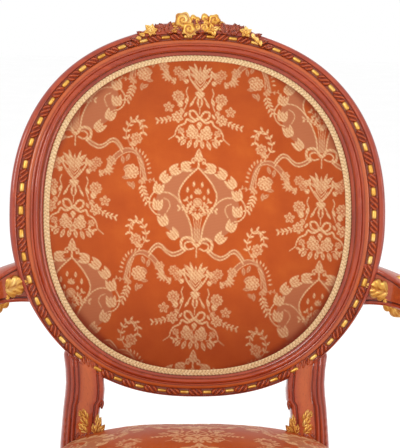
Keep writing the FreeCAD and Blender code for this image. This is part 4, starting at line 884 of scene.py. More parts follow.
def ribbon_and_stick():
    """Fifty gilded sticks, and between each two a ribbon of two and a half turns, mirrored in the left half.

    A stick is a bar whose ends are drawn in, 1 - |t|^5; a ribbon turn is a ridge cos^2 of a slanting coordinate.
    """
    angles, length = evenly_round(STICK_LINE, 2 * STICKS + 1)
    pitch = length / STICKS
    sticks, wraps = Piece(GILDING), Piece(MAHOGANY_UP)
    chance = np.random.default_rng(7)
    t = np.linspace(-1, 1, 15)[:, None]
    turn = np.linspace(0, math.pi, 11)[None]
    s = np.linspace(-1, 1, 27)[:, None]
    w = np.linspace(-1, 1, 15)[None]
    for k, angle in enumerate(angles[:-1]):
        share = float(moulding_share(angle))
        hand = 1 if k < STICKS else -1
        seat = seat_on_channel(angle, STICK_LINE, CHANNEL_FLOOR)
        if k % 2:
            thick = np.sqrt(np.clip(1 - np.abs(t) ** 5, 0.02, 1))
            radius = STICK_RADIUS * share * (1 + 0.05 * chance.standard_normal()) * thick
            up = STICK_HEIGHT * (0.86 + 0.14 * share) * thick * np.sin(turn) ** 0.85
            ridge = 1 + 0.05 * np.cos(2 * turn)
            points = in_place(seat, pitch * STICK_SHARE * t, radius * np.cos(turn) * ridge, up)
            # Painted shade at the ends and along the sides of each stick
            edge = smooth(0.72, 1.0, np.abs(t)) * 0.8 + smooth(0.75, 1.0, np.abs(np.cos(turn))) * 0.7
            sticks.grid(hang(points), round_j=True, caps=True, recess=np.clip(edge, 0, 1))
        else:
            half = pitch * RIBBON_SHARE
            slant = (s * half - hand * 0.9 * w * RIBBON_HALF_WIDTH * share) / (2 * half)
            fold = np.cos(math.pi * RIBBON_TURNS * slant) ** 2
            body = np.sqrt(np.clip(1 - np.abs(w) ** 2.6, 0, 1))
            ends = np.sqrt(np.clip(1 - np.abs(s) ** 7, 0, 1))
            up = (1.2 + 3.9 * fold**0.7) * body * (0.35 + 0.65 * ends)
            wide = RIBBON_HALF_WIDTH * share * w * (0.86 + 0.14 * fold)
            points = in_place(seat, half * s, wide, up - 0.4)
            # Painted shade between the ribbon's turns, painted light on their ridges
            wraps.grid(hang(points), towards=FORWARDS, recess=np.clip(0.5 - 0.7 * fold, 0, 1), tone=0.25 * fold)
    sticks.build("ribbon_sticks", "gilding", ["ribbon_sticks"], sharp=60)
    wraps.build("ribbon_wraps", "mahogany", ["ribbon_wraps"], sharp=0)


# Upholstery of the back

BOW_ON_BACK = (-2.0, -47.0)
PATTERN_LEAN = math.radians(0.9)
PATTERN_FALL = 0.064
RING_GIMP_WIDTH, BRAID_LOOP = 8.8, 5.2
EDGE_RISE, CROWN_RISE = 5.5, 24.0
PANEL_FRONT, PANEL_BACK = -12.3, -17.4


def back_dome(x, y):
    """The tight back: hollow, edge and crown (1 - spread), spread being the superellipse's own value."""
    spread = np.abs(x / SIGHT_HALF_WIDTH) ** SIGHT_SQUARENESS + np.abs(y / SIGHT_HALF_HEIGHT) ** SIGHT_SQUARENESS
    return hollow(x) + EDGE_RISE + CROWN_RISE * (1 - spread)


def cloth_on_back(x, y):
    """Where a point of the back lies on the cloth, which was cut a little out of plumb and sags to the right."""
    c, s = math.cos(PATTERN_LEAN), math.sin(PATTERN_LEAN)
    dx, dy = x - BOW_ON_BACK[0], y - BOW_ON_BACK[1]
    return dx * c - dy * s, dx * s + dy * c + PATTERN_FALL * dx


def oval_grid(count, inset=0.0):
    """A disc grid stretched out to the sight edge, less an inset."""
    angle, radius = disc_grid(count, count)
    rim_x, rim_y = sight(angle, -inset)
    return rim_x * radius, rim_y * radius


def upholster_back():
    """The lampas cover as one crowned pad: a fine face with the woven relief, and a plain inside closing it."""
    count = 400
    x, y = oval_grid(count, 0.6)
    cx, cy = cloth_on_back(x, y)
    figure, second = lampas(cx, cy)
    reach = np.hypot(x / SIGHT_HALF_WIDTH, y / SIGHT_HALF_HEIGHT)
    angle = np.arctan2(y, x)
    pulls = 0.35 * smooth(0.8, 0.98, reach) * np.sin(angle * 46) * np.sin(angle * 7 + 1)
    relief = 0.28 * figure + 0.08 * second
    n = back_dome(x, y) + relief + pulls - 0.7 * smooth(0.955, 1.0, reach)
    shade = 0.5 * smooth(0.93, 1.0, reach) ** 2 + 0.28 * smooth(0.35, 1.0, reach)
    shade = shade + 0.25 * smooth(0, 1, (-40 - y) / 190)
    cover = Piece(LAMPAS)
    cover.grid(hang(lanes(x, y, n)), towards=FORWARDS, figure=figure, second=second, shade=shade, u=cx, v=cy)
    turn = round_turn(400)
    rim_x, rim_y = sight(turn, -0.6)
    rows = []
    for share, depth in ((1, 0), (1, -3.0), (0.97, -3.5), (0.6, None), (0.02, None)):
        px, py = rim_x * share, rim_y * share
        height = back_dome(px, py) + depth if depth is not None else hollow(px) + 1.5
        rows.append(lanes(px, py, height))
    cover.grid(hang(np.array(rows)[1:]), round_j=True, towards=BACKWARDS)
    cover.grid(hang(np.array(rows)[:2]), round_j=True)
    made = cover.build("back_cover", "silk_lampas", ["back_cover", "back_stuffing"], sharp=0, uv=("u", "v"))


def braid_band(rows, wide):
    """One stretch of scroll gimp as heights over its seat: two scalloped borders and a plaited middle.

    s is the run in mm and w goes from -1 to 1 across; loops come every BRAID_LOOP, half a loop apart on the borders.
    """
    s = rows[:, None]
    w = np.linspace(-1, 1, 13)[None]
    beat = 2 * math.pi * s / BRAID_LOOP
    left = np.abs(np.sin(beat / 2 + 1.2 * w))
    right = np.abs(np.cos(beat / 2 - 1.2 * w))
    plait = 0.35 + 0.65 * np.where(w > 0, left, right)
    body = np.clip(1 - np.abs(w) ** 6, 0, 1) ** 0.5
    border = bell(np.abs(w) - 0.8, 0.14)
    up = (1.2 + 0.75 * plait + 0.45 * border * (0.6 + 0.4 * np.sin(beat * 2))) * body
    edge = wide * w * (1 + 0.05 * np.cos(beat) * np.abs(w) ** 4)
    # Painted shade in the gaps between the loops and along the two edges
    recess = np.clip(1.0 - plait * 1.1 + 0.25 * (np.abs(w) > 0.93), 0, 0.85)
    return edge, up, recess


def gimp_ring(name, node, behind=False):
    """Gimp round the oval, laid on the cover's edge in front or on the outside panel behind."""
    inset = -RING_GIMP_WIDTH / 2
    angle, length = evenly_round(inset, 1500)
    rows = np.linspace(0, length, 1500)
    edge, up, recess = braid_band(rows, RING_GIMP_WIDTH / 2)
    out = inset + edge - inner_fall(angle[:, None])
    x, y = sight(angle[:, None], out)
    if behind:
        n = hollow(x) + PANEL_BACK - up
    else:
        n = back_dome(x, y) + up - 0.4
    braid = Piece(BRAID)
    braid.grid(hang(lanes(x, y, n)), towards=BACKWARDS if behind else FORWARDS, recess=recess)
    braid.build(name, "gimp_braid", [node], sharp=0)


def outside_back():
    """The outside back: plain silk over a thin panel, let into the rebate behind, with a slight crown."""
    x, y = oval_grid(90, 0.6)
    reach = np.hypot(x / SIGHT_HALF_WIDTH, y / SIGHT_HALF_HEIGHT)
    pulls = 0.3 * np.sin(np.arctan2(y, x) * 40) * smooth(0.85, 0.98, reach)
    n = hollow(x) + PANEL_BACK - 1.6 * (1 - reach**4) - pulls
    panel = Piece(PLAIN_SILK)
    panel.grid(hang(lanes(x, y, n)), towards=BACKWARDS, u=x, v=y, shade=0.3 * smooth(0.93, 1, reach))
    panel.grid(hang(lanes(x, y, hollow(x) + PANEL_FRONT)), towards=FORWARDS, u=x, v=y)
    turn = round_turn(240)
    rim_x, rim_y = sight(turn, -0.6)
    rim = lanes(rim_x, rim_y, np.stack([hollow(rim_x) + PANEL_BACK, hollow(rim_x) + PANEL_FRONT]))
    panel.grid(hang(rim), round_j=True)
    panel.build("outside_back_panel", "plain_silk", ["outside_back_panel"], sharp=50, uv=("u", "v"))


def back_of_the_chair():
    """The crest and the bottom rail as two lengths of moulding, with their carving, cover, gimps and panel."""
    crest, bottom = Piece(MAHOGANY_ACROSS), Piece(MAHOGANY_ACROSS)
    moulding_length(crest, CREST_JOINT, math.pi - CREST_JOINT, crest=True)
    moulding_length(bottom, -math.pi - FOOT_JOINT, FOOT_JOINT)
    crest.build("crest_rail", "mahogany", ["crest_rail"])
    bottom.build("back_bottom_rail", "mahogany", ["back_bottom_rail"])
    ribbon_and_stick()
    upholster_back()
    gimp_ring("back_gimp", "back_gimp")
    gimp_ring("outside_back_gimp", "outside_back_gimp", behind=True)
    outside_back()


back_of_the_chair()


# Stiles: the oval's side, the upright under it, the leg block and the raked rear leg


def upright_section():
    """The upright's section from its inner to its outer edge, (across -1..1, height mm, painted shade).

    A flat front panel between a quirked inner edge and two reeds, then the broad canted outer side. The shade
    lies in the quirks and grooves.
    """
    rows = [(-1.0, -14, 0.1), (-1.0, 0, 0.0), (-0.98, 6, 0.0), (-0.93, 9.2, 0.0), (-0.84, 10.4, 0.0),
            (-0.76, 9.8, 0.0), (-0.71, 8.0, 0.9), (-0.66, 8.0, 0.9), (-0.61, 9.9, 0.0), (-0.3, 10.6, 0.0),
            (0.0, 10.7, 0.0), (0.2, 10.3, 0.0), (0.27, 8.8, 0.9), (0.3, 8.9, 0.8), (0.34, 10.7, 0.0),
            (0.4, 11.3, 0.0), (0.46, 10.5, 0.0), (0.49, 8.6, 0.9), (0.53, 8.6, 0.9), (0.57, 9.8, 0.0),
            (0.63, 9.9, 0.0), (0.69, 8.4, 0.1), (0.73, 6.0, 0.7), (0.77, 5.4, 0.7), (0.83, 5.6, 0.0),
            (0.9, 3.4, 0.0), (0.97, -2, 0.0), (1.02, -9, 0.0), (1.03, -15, 0.0), (0.97, -19.5, 0.1),
            (0.85, -21.5, 0.0), (0.4, -22, 0.0), (-0.4, -22, 0.0), (-0.85, -21.5, 0.0), (-0.97, -19, 0.1)]
    return np.array(rows)


UPRIGHT_SECTION = upright_section()
UPRIGHT_FOOT, UPRIGHT_HEAD = -360.0, -180.0


def upright_edges(y):
    """Inner and outer edge of the upright in mm by bench height: waisted, with the carved ear inside."""
    inner = np.interp(y, (-360, -330, -305, -290, -276, -270, -255, -235, -180),
                      (136, 137, 139, 138, 136.5, 132, 131, 133, 136))
    outer = np.interp(y, (-360, -330, -300, -280, -262, -245, -225, -205, -180),
                      (194, 193, 191, 189.5, 187.5, 186.5, 187.5, 190, 184))
    return inner, outer


def upright_surface(piece):
    """The upright: its section stretched between the two edges, dying into the moulding, with a corded reed."""
    y = np.linspace(UPRIGHT_FOOT, UPRIGHT_HEAD, 110)[:, None]
    inner, outer = upright_edges(y)
    across, height, recess = UPRIGHT_SECTION.T
    x = (inner + outer) / 2 + (outer - inner) / 2 * across
    fade = 1 - smooth(-225, -195, y)
    lift = height * 0.9 * (0.75 + 0.25 * fade) - 1.5 * (1 - fade)
    cord = smooth(-345, -330, y) * (1 - smooth(-300, -285, y))
    twist = 0.7 * bell(across - 0.9, 0.1) * np.cos(2 * math.pi * (y / 11 + across)) * cord
    bench = lanes(x, y, lift + twist + hollow(x))
    # Painted light on the front panel, painted shade on the outer side and in the grooves
    flats = 0.5 * smooth(-0.62, -0.5, across) * (1 - smooth(0.15, 0.25, across)) - 0.5 * smooth(0.8, 0.9, across)
    piece.grid(hang(bench), round_j=True, caps=True, recess=0.7 * recess * fade,
               tone=flats * (height > 0))


# Levels of (height, inset, painted shade): the shade at the foot of the block and at its top under the seat's cover
LEG_BLOCK = ((BLOCK_BOTTOM, 1.5, 0.2), (BLOCK_BOTTOM + 1.5, 0.3, 0), (BLOCK_BOTTOM + 8, 0, 0),
             (SHOW_WOOD_TOP - 8, 0, 0), (SHOW_WOOD_TOP - 1, 0, 0.2), (SHOW_WOOD_TOP, 0.6, 0.3),
             (SHOW_WOOD_TOP + 0.2, 4, 0.3), (SEAT_RAIL_TOP, 4, 0.3))


def rounded_block(piece, x0, x1, y0, y1, levels, power=14):
    """A squared block with eased corners: superellipses stacked at (height, inset, painted shade) levels."""
    a, b = superellipse(round_turn(96), power)
    height, inset, dark = np.array(levels, float).T[..., None]
    x = (x0 + x1) / 2 + a * ((x1 - x0) / 2 - inset)
    y = (y0 + y1) / 2 + b * ((y1 - y0) / 2 - inset)
    piece.grid(lanes(x, y, height), round_j=True, caps=True, recess=dark)


def turned_profile(height):
    """Radii of a turned leg by height over its glide: toupie foot, ankle ring, column, collar and necking."""
    foot = [(0, 9.6), (2, 10.6), (8, 13.6), (14, 15.2), (18, 14.6), (22, 12.2), (25, 11.8), (26, 13.0), (28, 15.4),
            (30.5, 16.0), (33, 15.0), (34, 12.8), (36, 12.6), (38, 13.2)]
    top = height - 22
    head = [(top - 3, 20.6), (top - 1, 20.4), (top, 18.6), (top + 1.5, 18.4), (top + 3, 21.0), (top + 5, 24.0),
            (top + 8, 25.5), (top + 11, 25.3), (top + 14, 23.6), (top + 15, 21.0), (top + 16, 20.0),
            (top + 19, 19.8), (top + 21, 21.5), (height, 22.5)]
    column = np.linspace(44, top - 8, 24)
    z = [p[0] for p in foot] + list(column) + [p[0] for p in head]
    r = [p[1] for p in foot] + list(13.4 + (20.6 - 13.4) * (column - 38) / (top - 41)) + [p[1] for p in head]
    fine = np.unique(np.concatenate([np.linspace(z[k], z[k + 1], 4) for k in range(len(z) - 1)]))
    return fine, np.interp(fine, z, r)


FLUTES, FLUTE_DEPTH = 12, 2.3


def leg_surface(piece, height, place):
    """The turned and fluted leg: the column's radius less round-bottomed flutes between narrow lands."""
    z, r = turned_profile(height)
    turn = round_turn(192)
    phase = np.abs(((turn * FLUTES / (2 * math.pi)) % 1) - 0.5) * 2
    cut = np.clip((0.78 - phase) / 0.78, 0, 1)
    cut = np.sqrt(1 - (1 - cut) ** 2)
    column = smooth(41, 49, z) * (1 - smooth(height - 33, height - 26, z))
    depth = FLUTE_DEPTH * column[:, None] * cut[None] * (r[:, None] / 20)
    radius = r[:, None] - depth
    points = lanes(radius * np.cos(turn), radius * np.sin(turn), z[:, None])
    # Painted shade in the flutes, deepest where they are cut deepest
    piece.grid(place(points), round_j=True, caps=True, recess=np.clip(0.75 * depth / 2.0, 0, 1))


REAR_LEG_RAKE = math.radians(9)
REAR_LEG_SLANT = (BLOCK_BOTTOM - GLIDE_HEIGHT) / math.cos(REAR_LEG_RAKE) + 6


def raked(points):
    """Stands the rear leg under its block, leaning back by its rake."""
    turn = REAR_LEG_RAKE
    x, y, z = points[..., 0], points[..., 1], points[..., 2] - REAR_LEG_SLANT + 6
    return lanes(x + REAR_LEG_X, REAR_LEG_Y - 4 + SHIFT + y * math.cos(turn) - z * math.sin(turn),
                 BLOCK_BOTTOM + y * math.sin(turn) + z * math.cos(turn))


def build_both(piece, name):
    """Builds a mahogany piece of the right side and its mirror image, each in place of the node of its name."""
    for side, made in (("right", piece), ("left", piece.mirror())):
        made.build(f"{side}_{name}", "mahogany", [f"{side}_{name}"])


def stiles():
    """Each stile in one piece: the oval's side, the upright, the leg block and the raked leg."""
    right = Piece(MAHOGANY_UP)
    moulding_length(right, FOOT_JOINT, CREST_JOINT)
    upright_surface(right)
    y = REAR_LEG_Y + SHIFT
    rounded_block(right, REAR_LEG_X - 31, REAR_LEG_X + 31, y - 25, y + 25, LEG_BLOCK)
    leg_surface(right, REAR_LEG_SLANT, raked)
    build_both(right, "back_stile")


stiles()


# Carved and gilded flowers and leaves


def ground_of(x, y, n):
    """A carver's seat on the bench drawing: place, and the drawing's own three directions."""
    return np.array([x, y, n + float(hollow(x))]), X_AXIS, Y_AXIS, Z_AXIS


def crest_seat(x, y, lift):
    """A seat on the crest: the crown beyond the channel, 10.5 mm high and falling 0.2 mm per mm outwards."""
    edge = SIGHT_HALF_HEIGHT * (1 - abs(x / SIGHT_HALF_WIDTH) ** SIGHT_SQUARENESS) ** (1 / SIGHT_SQUARENESS) + 29
    return ground_of(x, y, 10.5 - 0.2 * max(y - edge, 0) + lift)


def turned(seat, degrees):
    """The same seat with its first two directions turned."""
    middle, a, b, c = seat
    k, s = math.cos(math.radians(degrees)), math.sin(math.radians(degrees))
    return middle, a * k + b * s, b * k - a * s, c


def as_placed(points):
    """For a seat that already stands in the chair, in the place of hang."""
    return points


def rose(piece, seat, radius, turns, petals, high=0.62, place=hang):
    """A rose as a dome with a spiral of petal edges, ridge phase 2 pi turns r^0.8 - angle, and a scalloped rim."""
    r = np.concatenate([np.linspace(0, 1, 26), [1.02, 1.0]])[:, None]
    a = round_turn(48)[None]
    rim = 1 + 0.09 * np.cos(petals * a + 0.6) * smooth(0.5, 1, r)
    phase = 2 * math.pi * turns * r**0.8 - a
    ridge = (0.5 + 0.5 * np.cos(phase)) ** 0.7
    up = radius * (high * np.sqrt(np.clip(1 - r**2 * 0.82, 0, 1)) + 0.17 * ridge * (1 - 0.4 * r))
    up = np.where(np.arange(len(r))[:, None] == len(r) - 1, -2.5, up)
    # Painted shade in the grooves between the spiral's petal edges
    recess = np.clip(0.85 - 1.7 * ridge, 0, 1) * smooth(0.02, 0.15, r)
    points = in_place(seat, radius * r * rim * np.cos(a), radius * r * rim * np.sin(a), up)
    piece.grid(place(points), round_j=True, caps=True, recess=recess)


def petal(piece, seat, length, width, high, bend=0.0, veins=0, lobes=0, curl=0.2, place=hang, recess=1.0,
          **values):
    """A leaf or petal from its seat along the first direction, tip first bent aside by bend degrees.

    Half width is width/2 sin(pi s^0.7)^0.8 with lobes cut by |sin|; the body is domed, hollowed at the midrib and
    creased by veins, and its end lifts by curl of the length.
    """
    s = np.linspace(0, 1, 29 if lobes or veins else 17)[:, None]
    w = np.linspace(-1, 1, 17 if veins else 11)[None]
    outline = np.sin(math.pi * np.clip(s, 0.03, 0.985) ** 0.7) ** 0.8
    if lobes:
        outline = outline * (0.66 + 0.34 * np.abs(np.sin(math.pi * lobes * s)) ** 0.6)
    body = np.sqrt(np.clip(1 - np.abs(w) ** 2.4, 0, 1)) * np.sin(math.pi * np.clip(s, 0.02, 0.98)) ** 0.35
    crease = 0.5 - 0.5 * np.cos(math.pi * veins * (s - 0.45 * np.abs(w)) * 2)
    rib = bell(w, 0.13) * smooth(0.03, 0.2, s) * (1 - smooth(0.8, 1, s))
    up = high * body * (1 - 0.28 * crease) - high * 0.3 * rib + length * curl * s**2.4
    turn = math.radians(bend) * s
    along, across = length * s, 0.5 * width * outline * w
    x = along * np.cos(turn) - across * np.sin(turn)
    y = along * np.sin(turn) + across * np.cos(turn)
    # Painted shade on the midrib, in the creases and at the edges; the underside gets 0.8 of it
    dark = np.clip(0.75 * rib + 0.55 * crease + 0.8 * smooth(0.82, 1, np.abs(w)), 0, 1) * recess
    top = in_place(seat, x, y, up)
    base = in_place(seat, x, y, np.minimum(up - 1.2, length * curl * s**2.4 * 0.6 - 1.5))
    both = np.concatenate([top, base[:, ::-1]], 1)
    piece.grid(place(both), round_j=True, caps=True, recess=np.concatenate([dark, np.full_like(dark, 0.8)], 1),
               **values)


def crest_carving():
    """The crest's bouquet: roses, round buds, a four-petalled flower, a star at each end, red leaves behind."""
    gold, wood = Piece(GILDING), Piece(MAHOGANY_ACROSS)
    for x, y, n, r, turns, petals in ((-24.2, 280.5, 3.5, 11.8, 2.1, 5), (-15.0, 267.6, 3.5, 9.6, 1.6, 5),
                                      (21.6, 282.0, 3.0, 8.6, 1.5, 5), (-3.2, 271.0, 2.5, 5.4, 1.2, 4),
                                      (7.4, 270.5, 2.5, 6.2, 1.3, 5), (19.2, 267.9, 5.0, 2.6, 1.0, 5)):
        rose(gold, crest_seat(x, y, n), r, turns, petals)
    for turn in (195, 250, 305):
        petal(gold, turned(crest_seat(-15.0, 267.6, 1.5), turn), 12.5, 10, 3.4, bend=18, curl=0.12)
    petal(gold, turned(crest_seat(-26, 270.5, 1.5), 200), 12, 8.5, 3.2, bend=-25, curl=0.15)
    for x, y, radius in ((-8.6, 284.0, 5.6), (-2.4, 281.5, 5.0), (8.0, 285.5, 6.2), (9.6, 277.5, 5.4)):
        rose(gold, crest_seat(x, y, 2.5), radius, 0.6, 3, 0.75)
    for turn in (20, 110, 200, 290):
        petal(gold, turned(crest_seat(19.2, 267.9, 2.0), turn), 10.2, 9.6, 3.6, curl=0.12)
    for x, y, turn, length, width, bend in ((28, 279, -18, 17, 7.5, -30), (27, 273, -42, 13, 6.5, 20),
                                            (-33, 275, 190, 14, 8, 25), (-30, 269, 215, 13, 7, -15)):
        petal(gold, turned(crest_seat(x, y, 1.5), turn), length, width * 1.25, 4.0, bend=bend, veins=4, curl=0.1)
    for middle, lobes in (
        ((-70.5, 264.5), ((0, 9, 8), (62, 9.5, 8), (124, 10.5, 8.5), (186, 10, 8), (250, 8, 7), (310, 8, 7))),
        ((68.0, 264.8), ((15, 8.5, 7.5), (85, 8.5, 7.5), (150, 9.5, 8), (215, 8, 7), (290, 8, 7))),
    ):
        for turn, length, width in lobes:
            petal(gold, turned(crest_seat(*middle, 1.5), turn), length * 1.1, width * 1.1, 4.0, bend=14, curl=0.12)
        rose(gold, crest_seat(*middle, 4.0), 4.6, 1.3, 5)
    for x, y, turn, length in ((75, 262, -28, 10), (81, 257.5, -40, 9), (87, 252.5, -48, 8), (-79, 259.5, 208, 8),
                               (-85, 254.5, 220, 7)):
        petal(gold, turned(crest_seat(x, y, 1.2), turn), length * 1.15, 7.5, 3.4, bend=-25, curl=0.12)
    # The red leaves get a little painted light, towards orange
    for k in range(15):
        x = -52 + 104 * k / 14
        y = 266 + 3.5 * math.cos(k * 2.3) - abs(x) * 0.05
        lean = 90 - x * 0.75 + 26 * (-1) ** k
        petal(wood, turned(crest_seat(x, y, 0.0), lean), 17.5 + 2.5 * math.sin(k * 1.7) - abs(x) * 0.05, 14, 5.0,
              bend=16 * (-1) ** k, veins=4, curl=0.05, tone=0.15)
    for side in (-1, 1):
        for x, y, turn in ((50, 267, 60), (58, 264, 72), (80, 257, 40), (88, 249, 30), (96, 242, 24)):
            petal(wood, turned(crest_seat(side * x, y, 0.0), 90 - side * (90 - turn)), 13, 8, 4.0, bend=-side * 15,
                  veins=3, curl=0.05, tone=0.15)
    gold.build("crest_flowers", "gilding",
               ["crest_roses", "crest_leaves", "left_crest_flower", "right_crest_flower"], sharp=0)
    wood.build("crest_foliage", "mahogany", sharp=0)


UPRIGHT_LEAVES = (  # finish, lift, height, bend, veins, curl, painted light, and (x, y, turn, length, width) of each lobe
    ("gold", 8.6, 3.6, 14, 3, 0.05, 0, ((154.5, -297.5, 54, 19, 10.5), (154.5, -306.0, 46, 21, 11.5),
                                        (155.5, -315.5, 38, 20, 11.5), (163, -292.5, 62, 11, 7.5))),
    ("gold", 8.0, 3.6, 8, 3, 0.05, 0, ((141.0, -315.0, 96, 23, 9.5), (138.5, -317.0, 116, 16, 8.5),
                                       (144.0, -317.0, 70, 15, 8.5), (141.0, -306.0, 86, 18, 7.5))),
    ("wood", 7.4, 4.2, 6, 4, 0.02, 0.12, ((158, -312, -72, 22, 13), (150, -314, -100, 16, 9),
                                          (165, -313, -58, 15, 8))),
    ("wood", 5.2, 4.4, -10, 3, 0.04, 0.1, ((135, -268, -82, 15, 8), (135.5, -262, 86, 14, 7.5))),
)


def upright_leaves():
    """On each upright a gilt leaf on the front, one on the inner edge, a red one below them and one at the ear."""
    gold, wood = Piece(GILDING), Piece(MAHOGANY_UP)
    for finish, lift, high, bend, veins, curl, tone, lobes in UPRIGHT_LEAVES:
        values = {"tone": tone} if tone else {}
        for x, y, turn, length, width in lobes:
            petal(gold if finish == "gold" else wood, turned(ground_of(x, y, lift), turn), length, width, high,
                  bend=bend, veins=veins, curl=curl, **values)
    gold.join(gold.mirror())
    wood.join(wood.mirror())
    gold.build("upright_leaves", "gilding", ["upright_leaves"], sharp=0)
    wood.build("upright_foliage", "mahogany", sharp=0)


crest_carving()
upright_leaves()


# Arms, their posts and pads

ARM_ROOT_HEIGHT, ARM_FALL, ARM_X, ARM_RUN, ARM_ROOT_DEEP = 646.0, 14.0, 307.0, 307.0, 60.0
ARM_BEND_DEPTH, SCROLL_RADIUS, SCROLL_WIDTH, SCROLL_TURNS = 78.0, 23.0, 36.0, 2.4
PAD_CORNER = 3.2


def arm_start():
    """Where the arm grows from the medallion's side: the moulding at the arm's height."""
    down = (ARM_ROOT_HEIGHT - MEDALLION_HEIGHT) / math.cos(BACK_RAKE)
    angles = np.linspace(-math.pi / 2, 0, 2000)
    angle = float(np.interp(down, sight(angles)[1], angles))
    return hang(on_moulding(np.array([angle]), 39, -9))[0]


ARM_START = arm_start()


def arm_line(count):
    """The arm's middle line: a quarter turn out of the back, then straight forward and a little down."""
    share = np.linspace(-0.12, 1, count)
    turn = np.radians(90 * np.clip(share, 0, 1))
    x = ARM_START[0] + (ARM_X - ARM_START[0]) * np.sin(turn) + np.minimum(share, 0) * 90
    y = ARM_START[1] - ARM_BEND_DEPTH * (1 - np.cos(turn))
    z = ARM_ROOT_HEIGHT - ARM_FALL * share
    bend = np.stack([x, y, z], -1)
    run = np.linspace(0, 1, 60)[1:, None]
    ahead = np.array([[ARM_X, bend[-1, 1], bend[-1, 2]]]) + run * np.array([[0, -ARM_RUN, -4.0]])
    high = np.concatenate([30 + (ARM_ROOT_DEEP - 30) * np.clip(1 - share, 0, 1.05) ** 1.2, np.full(len(run), 30.0)])
    wide = np.concatenate([22 + 12 * np.clip(share, 0, 1), np.full(len(run), 34.0)])
    return np.concatenate([bend, ahead]), wide, high


def bordered_section(wide, high, sink=1.6):
    """A squared rail whose two sides carry a rounded border, a quirk and a sunk, slightly crowned panel.

    Rows are (side, up, painted shade, painted light) for every station: shade in the quirk, light on edge and panel.
    """
    w, h = np.asarray(wide, float)[:, None] / 2, np.asarray(high, float)[:, None] / 2
    edge = [(0, 0, 0, 0.2, 0), (5.5, 0, 0, 0.1, 0), (1.6, 1.0, 0, 0, 0), (0.4, 2.4, 0, 0, 0), (0, 4.4, 0, 0, 0),
            (0.5, 6.2, 0.1, 0, 0), (sink + 0.9, 7.0, 0.95, 0, 0), (sink + 0.9, 8.0, 0.95, 0, 0),
            (sink - 0.1, 9.2, 0.0, 0.2, 0), (sink - 0.6, 0, 0.0, 0.3, 1)]
    upper = []
    for inset, down, dark, tone, middle in edge:
        side = w - inset if inset or down else 0 * w
        up = 0 * h if middle else h - down
        upper.append((side, up, dark, tone))
    quarter = upper[:-1]
    right = upper + [(s, -u, d, t) for s, u, d, t in reversed(quarter)]
    left = [(-s, u, d, t) for s, u, d, t in reversed(right[1:-1])]
    ring = right + left
    return [np.concatenate([np.broadcast_to(row[k], w.shape) for row in ring], 1) for k in range(4)]


def scroll_end(piece, middle):
    """The volute at the arm's front: a short drum whose cheeks carry a spiral fillet of SCROLL_TURNS turns."""
    r = np.linspace(1, 0, 25)[:, None]
    a = round_turn(72)[None]
    phase = r * SCROLL_TURNS * 2 * math.pi + a
    ridge = (0.5 + 0.5 * np.cos(phase)) ** 1.5 * smooth(0.12, 0.3, r) + bell(r, 0.16) * 1.3
    cheek = 1.9 * ridge - 1.6
    for side in (-1, 1):
        x = side * (SCROLL_WIDTH / 2 + cheek)
        drum = lanes(middle[0] + x, middle[1] + SCROLL_RADIUS * r * np.cos(a),
                     middle[2] + SCROLL_RADIUS * r * np.sin(a))
        # Painted shade between the turns of the spiral fillet
        piece.grid(drum, round_j=True, towards=(side, 0, 0), recess=np.clip(0.8 - 1.4 * ridge, 0, 1))
    w = np.linspace(-1, 1, 17)[:, None]
    beads = 0.9 * bell(np.abs(w) - 0.78, 0.1) - 0.9 * bell(np.abs(w) - 0.56, 0.07)
    over = SCROLL_RADIUS * (1 - 0.03 * (1 - w**2)) + beads
    x = w * (SCROLL_WIDTH / 2 + 0.3)
    skin = lanes(middle[0] + x, middle[1] + over * np.cos(a), middle[2] + over * np.sin(a))
    # Painted shade in the quirks of the drum
    piece.grid(skin, round_j=True, recess=0.9 * bell(np.abs(w) - 0.56, 0.05))


def one_arm():
    """The right arm: the bordered section carried along its middle line, with the volute at the end."""
    path, wide, high = arm_line(44)
    along = unit(np.gradient(path, axis=0))
    across = unit(np.cross(along, Z_AXIS))
    over = np.cross(across, along)
    side, up, recess, tone = bordered_section(wide, high)
    arm = Piece(MAHOGANY_DEEP)
    points = path[:, None] + across[:, None] * side[..., None] + over[:, None] * up[..., None]
    arm.grid(points, round_j=True, caps=True, recess=recess, tone=tone)
    end = path[-1]
    scroll_end(arm, (end[0], end[1], end[2] - 8))
    return arm, path


def post_of_arm(end):
    """The post: waisted and swept forward, x along r^2 (3 - 2r), bowed back by 26 mm, with a sunk front panel."""
    foot = np.array([246.6, -84.5 + SHIFT, SHOW_WOOD_TOP])
    head = np.array([ARM_X, end[1], end[2] - 23])
    r = np.linspace(0, 1, 61)
    wide = 32 * np.interp(r, (0, 0.12, 0.35, 0.7, 1), (1, 0.96, 0.8, 0.8, 0.92))
    deep = 38 * np.interp(r, (0, 0.12, 0.35, 0.7, 1), (1, 0.9, 0.72, 0.72, 0.85))
    lean = r**2 * (3 - 2 * r)
    x = foot[0] + (head[0] - foot[0]) * lean
    y = foot[1] + (head[1] - foot[1]) * lean + 26 * np.sin(math.pi * r) * (1 - r)
    z = foot[2] + (head[2] - foot[2]) * r
    below = np.array([[x[0], y[0], z[0] - 26], [x[0], y[0], z[0] - 1]])
    path = np.concatenate([below, np.stack([x, y, z], -1)])
    wide, deep = np.concatenate([[31, 31], wide]), np.concatenate([[37, 37], deep])
    fore, sideways, recess, tone = bordered_section(deep, wide, 1.4)
    post = Piece(MAHOGANY_UP)
    points = path[:, None] + lanes(sideways, fore, 0.0)
    post.grid(points, round_j=True, caps=True, recess=recess, tone=tone)
    # The leaves on the post get a little painted light, towards orange
    for turn, length in ((90, 46), (64, 32), (116, 32)):
        seat = (foot + (0, -18.5, 16), X_AXIS, Z_AXIS, -Y_AXIS)
        petal(post, turned(seat, turn), length, 15, 4.5, veins=5, curl=0.04, place=as_placed, tone=0.15)
    return post


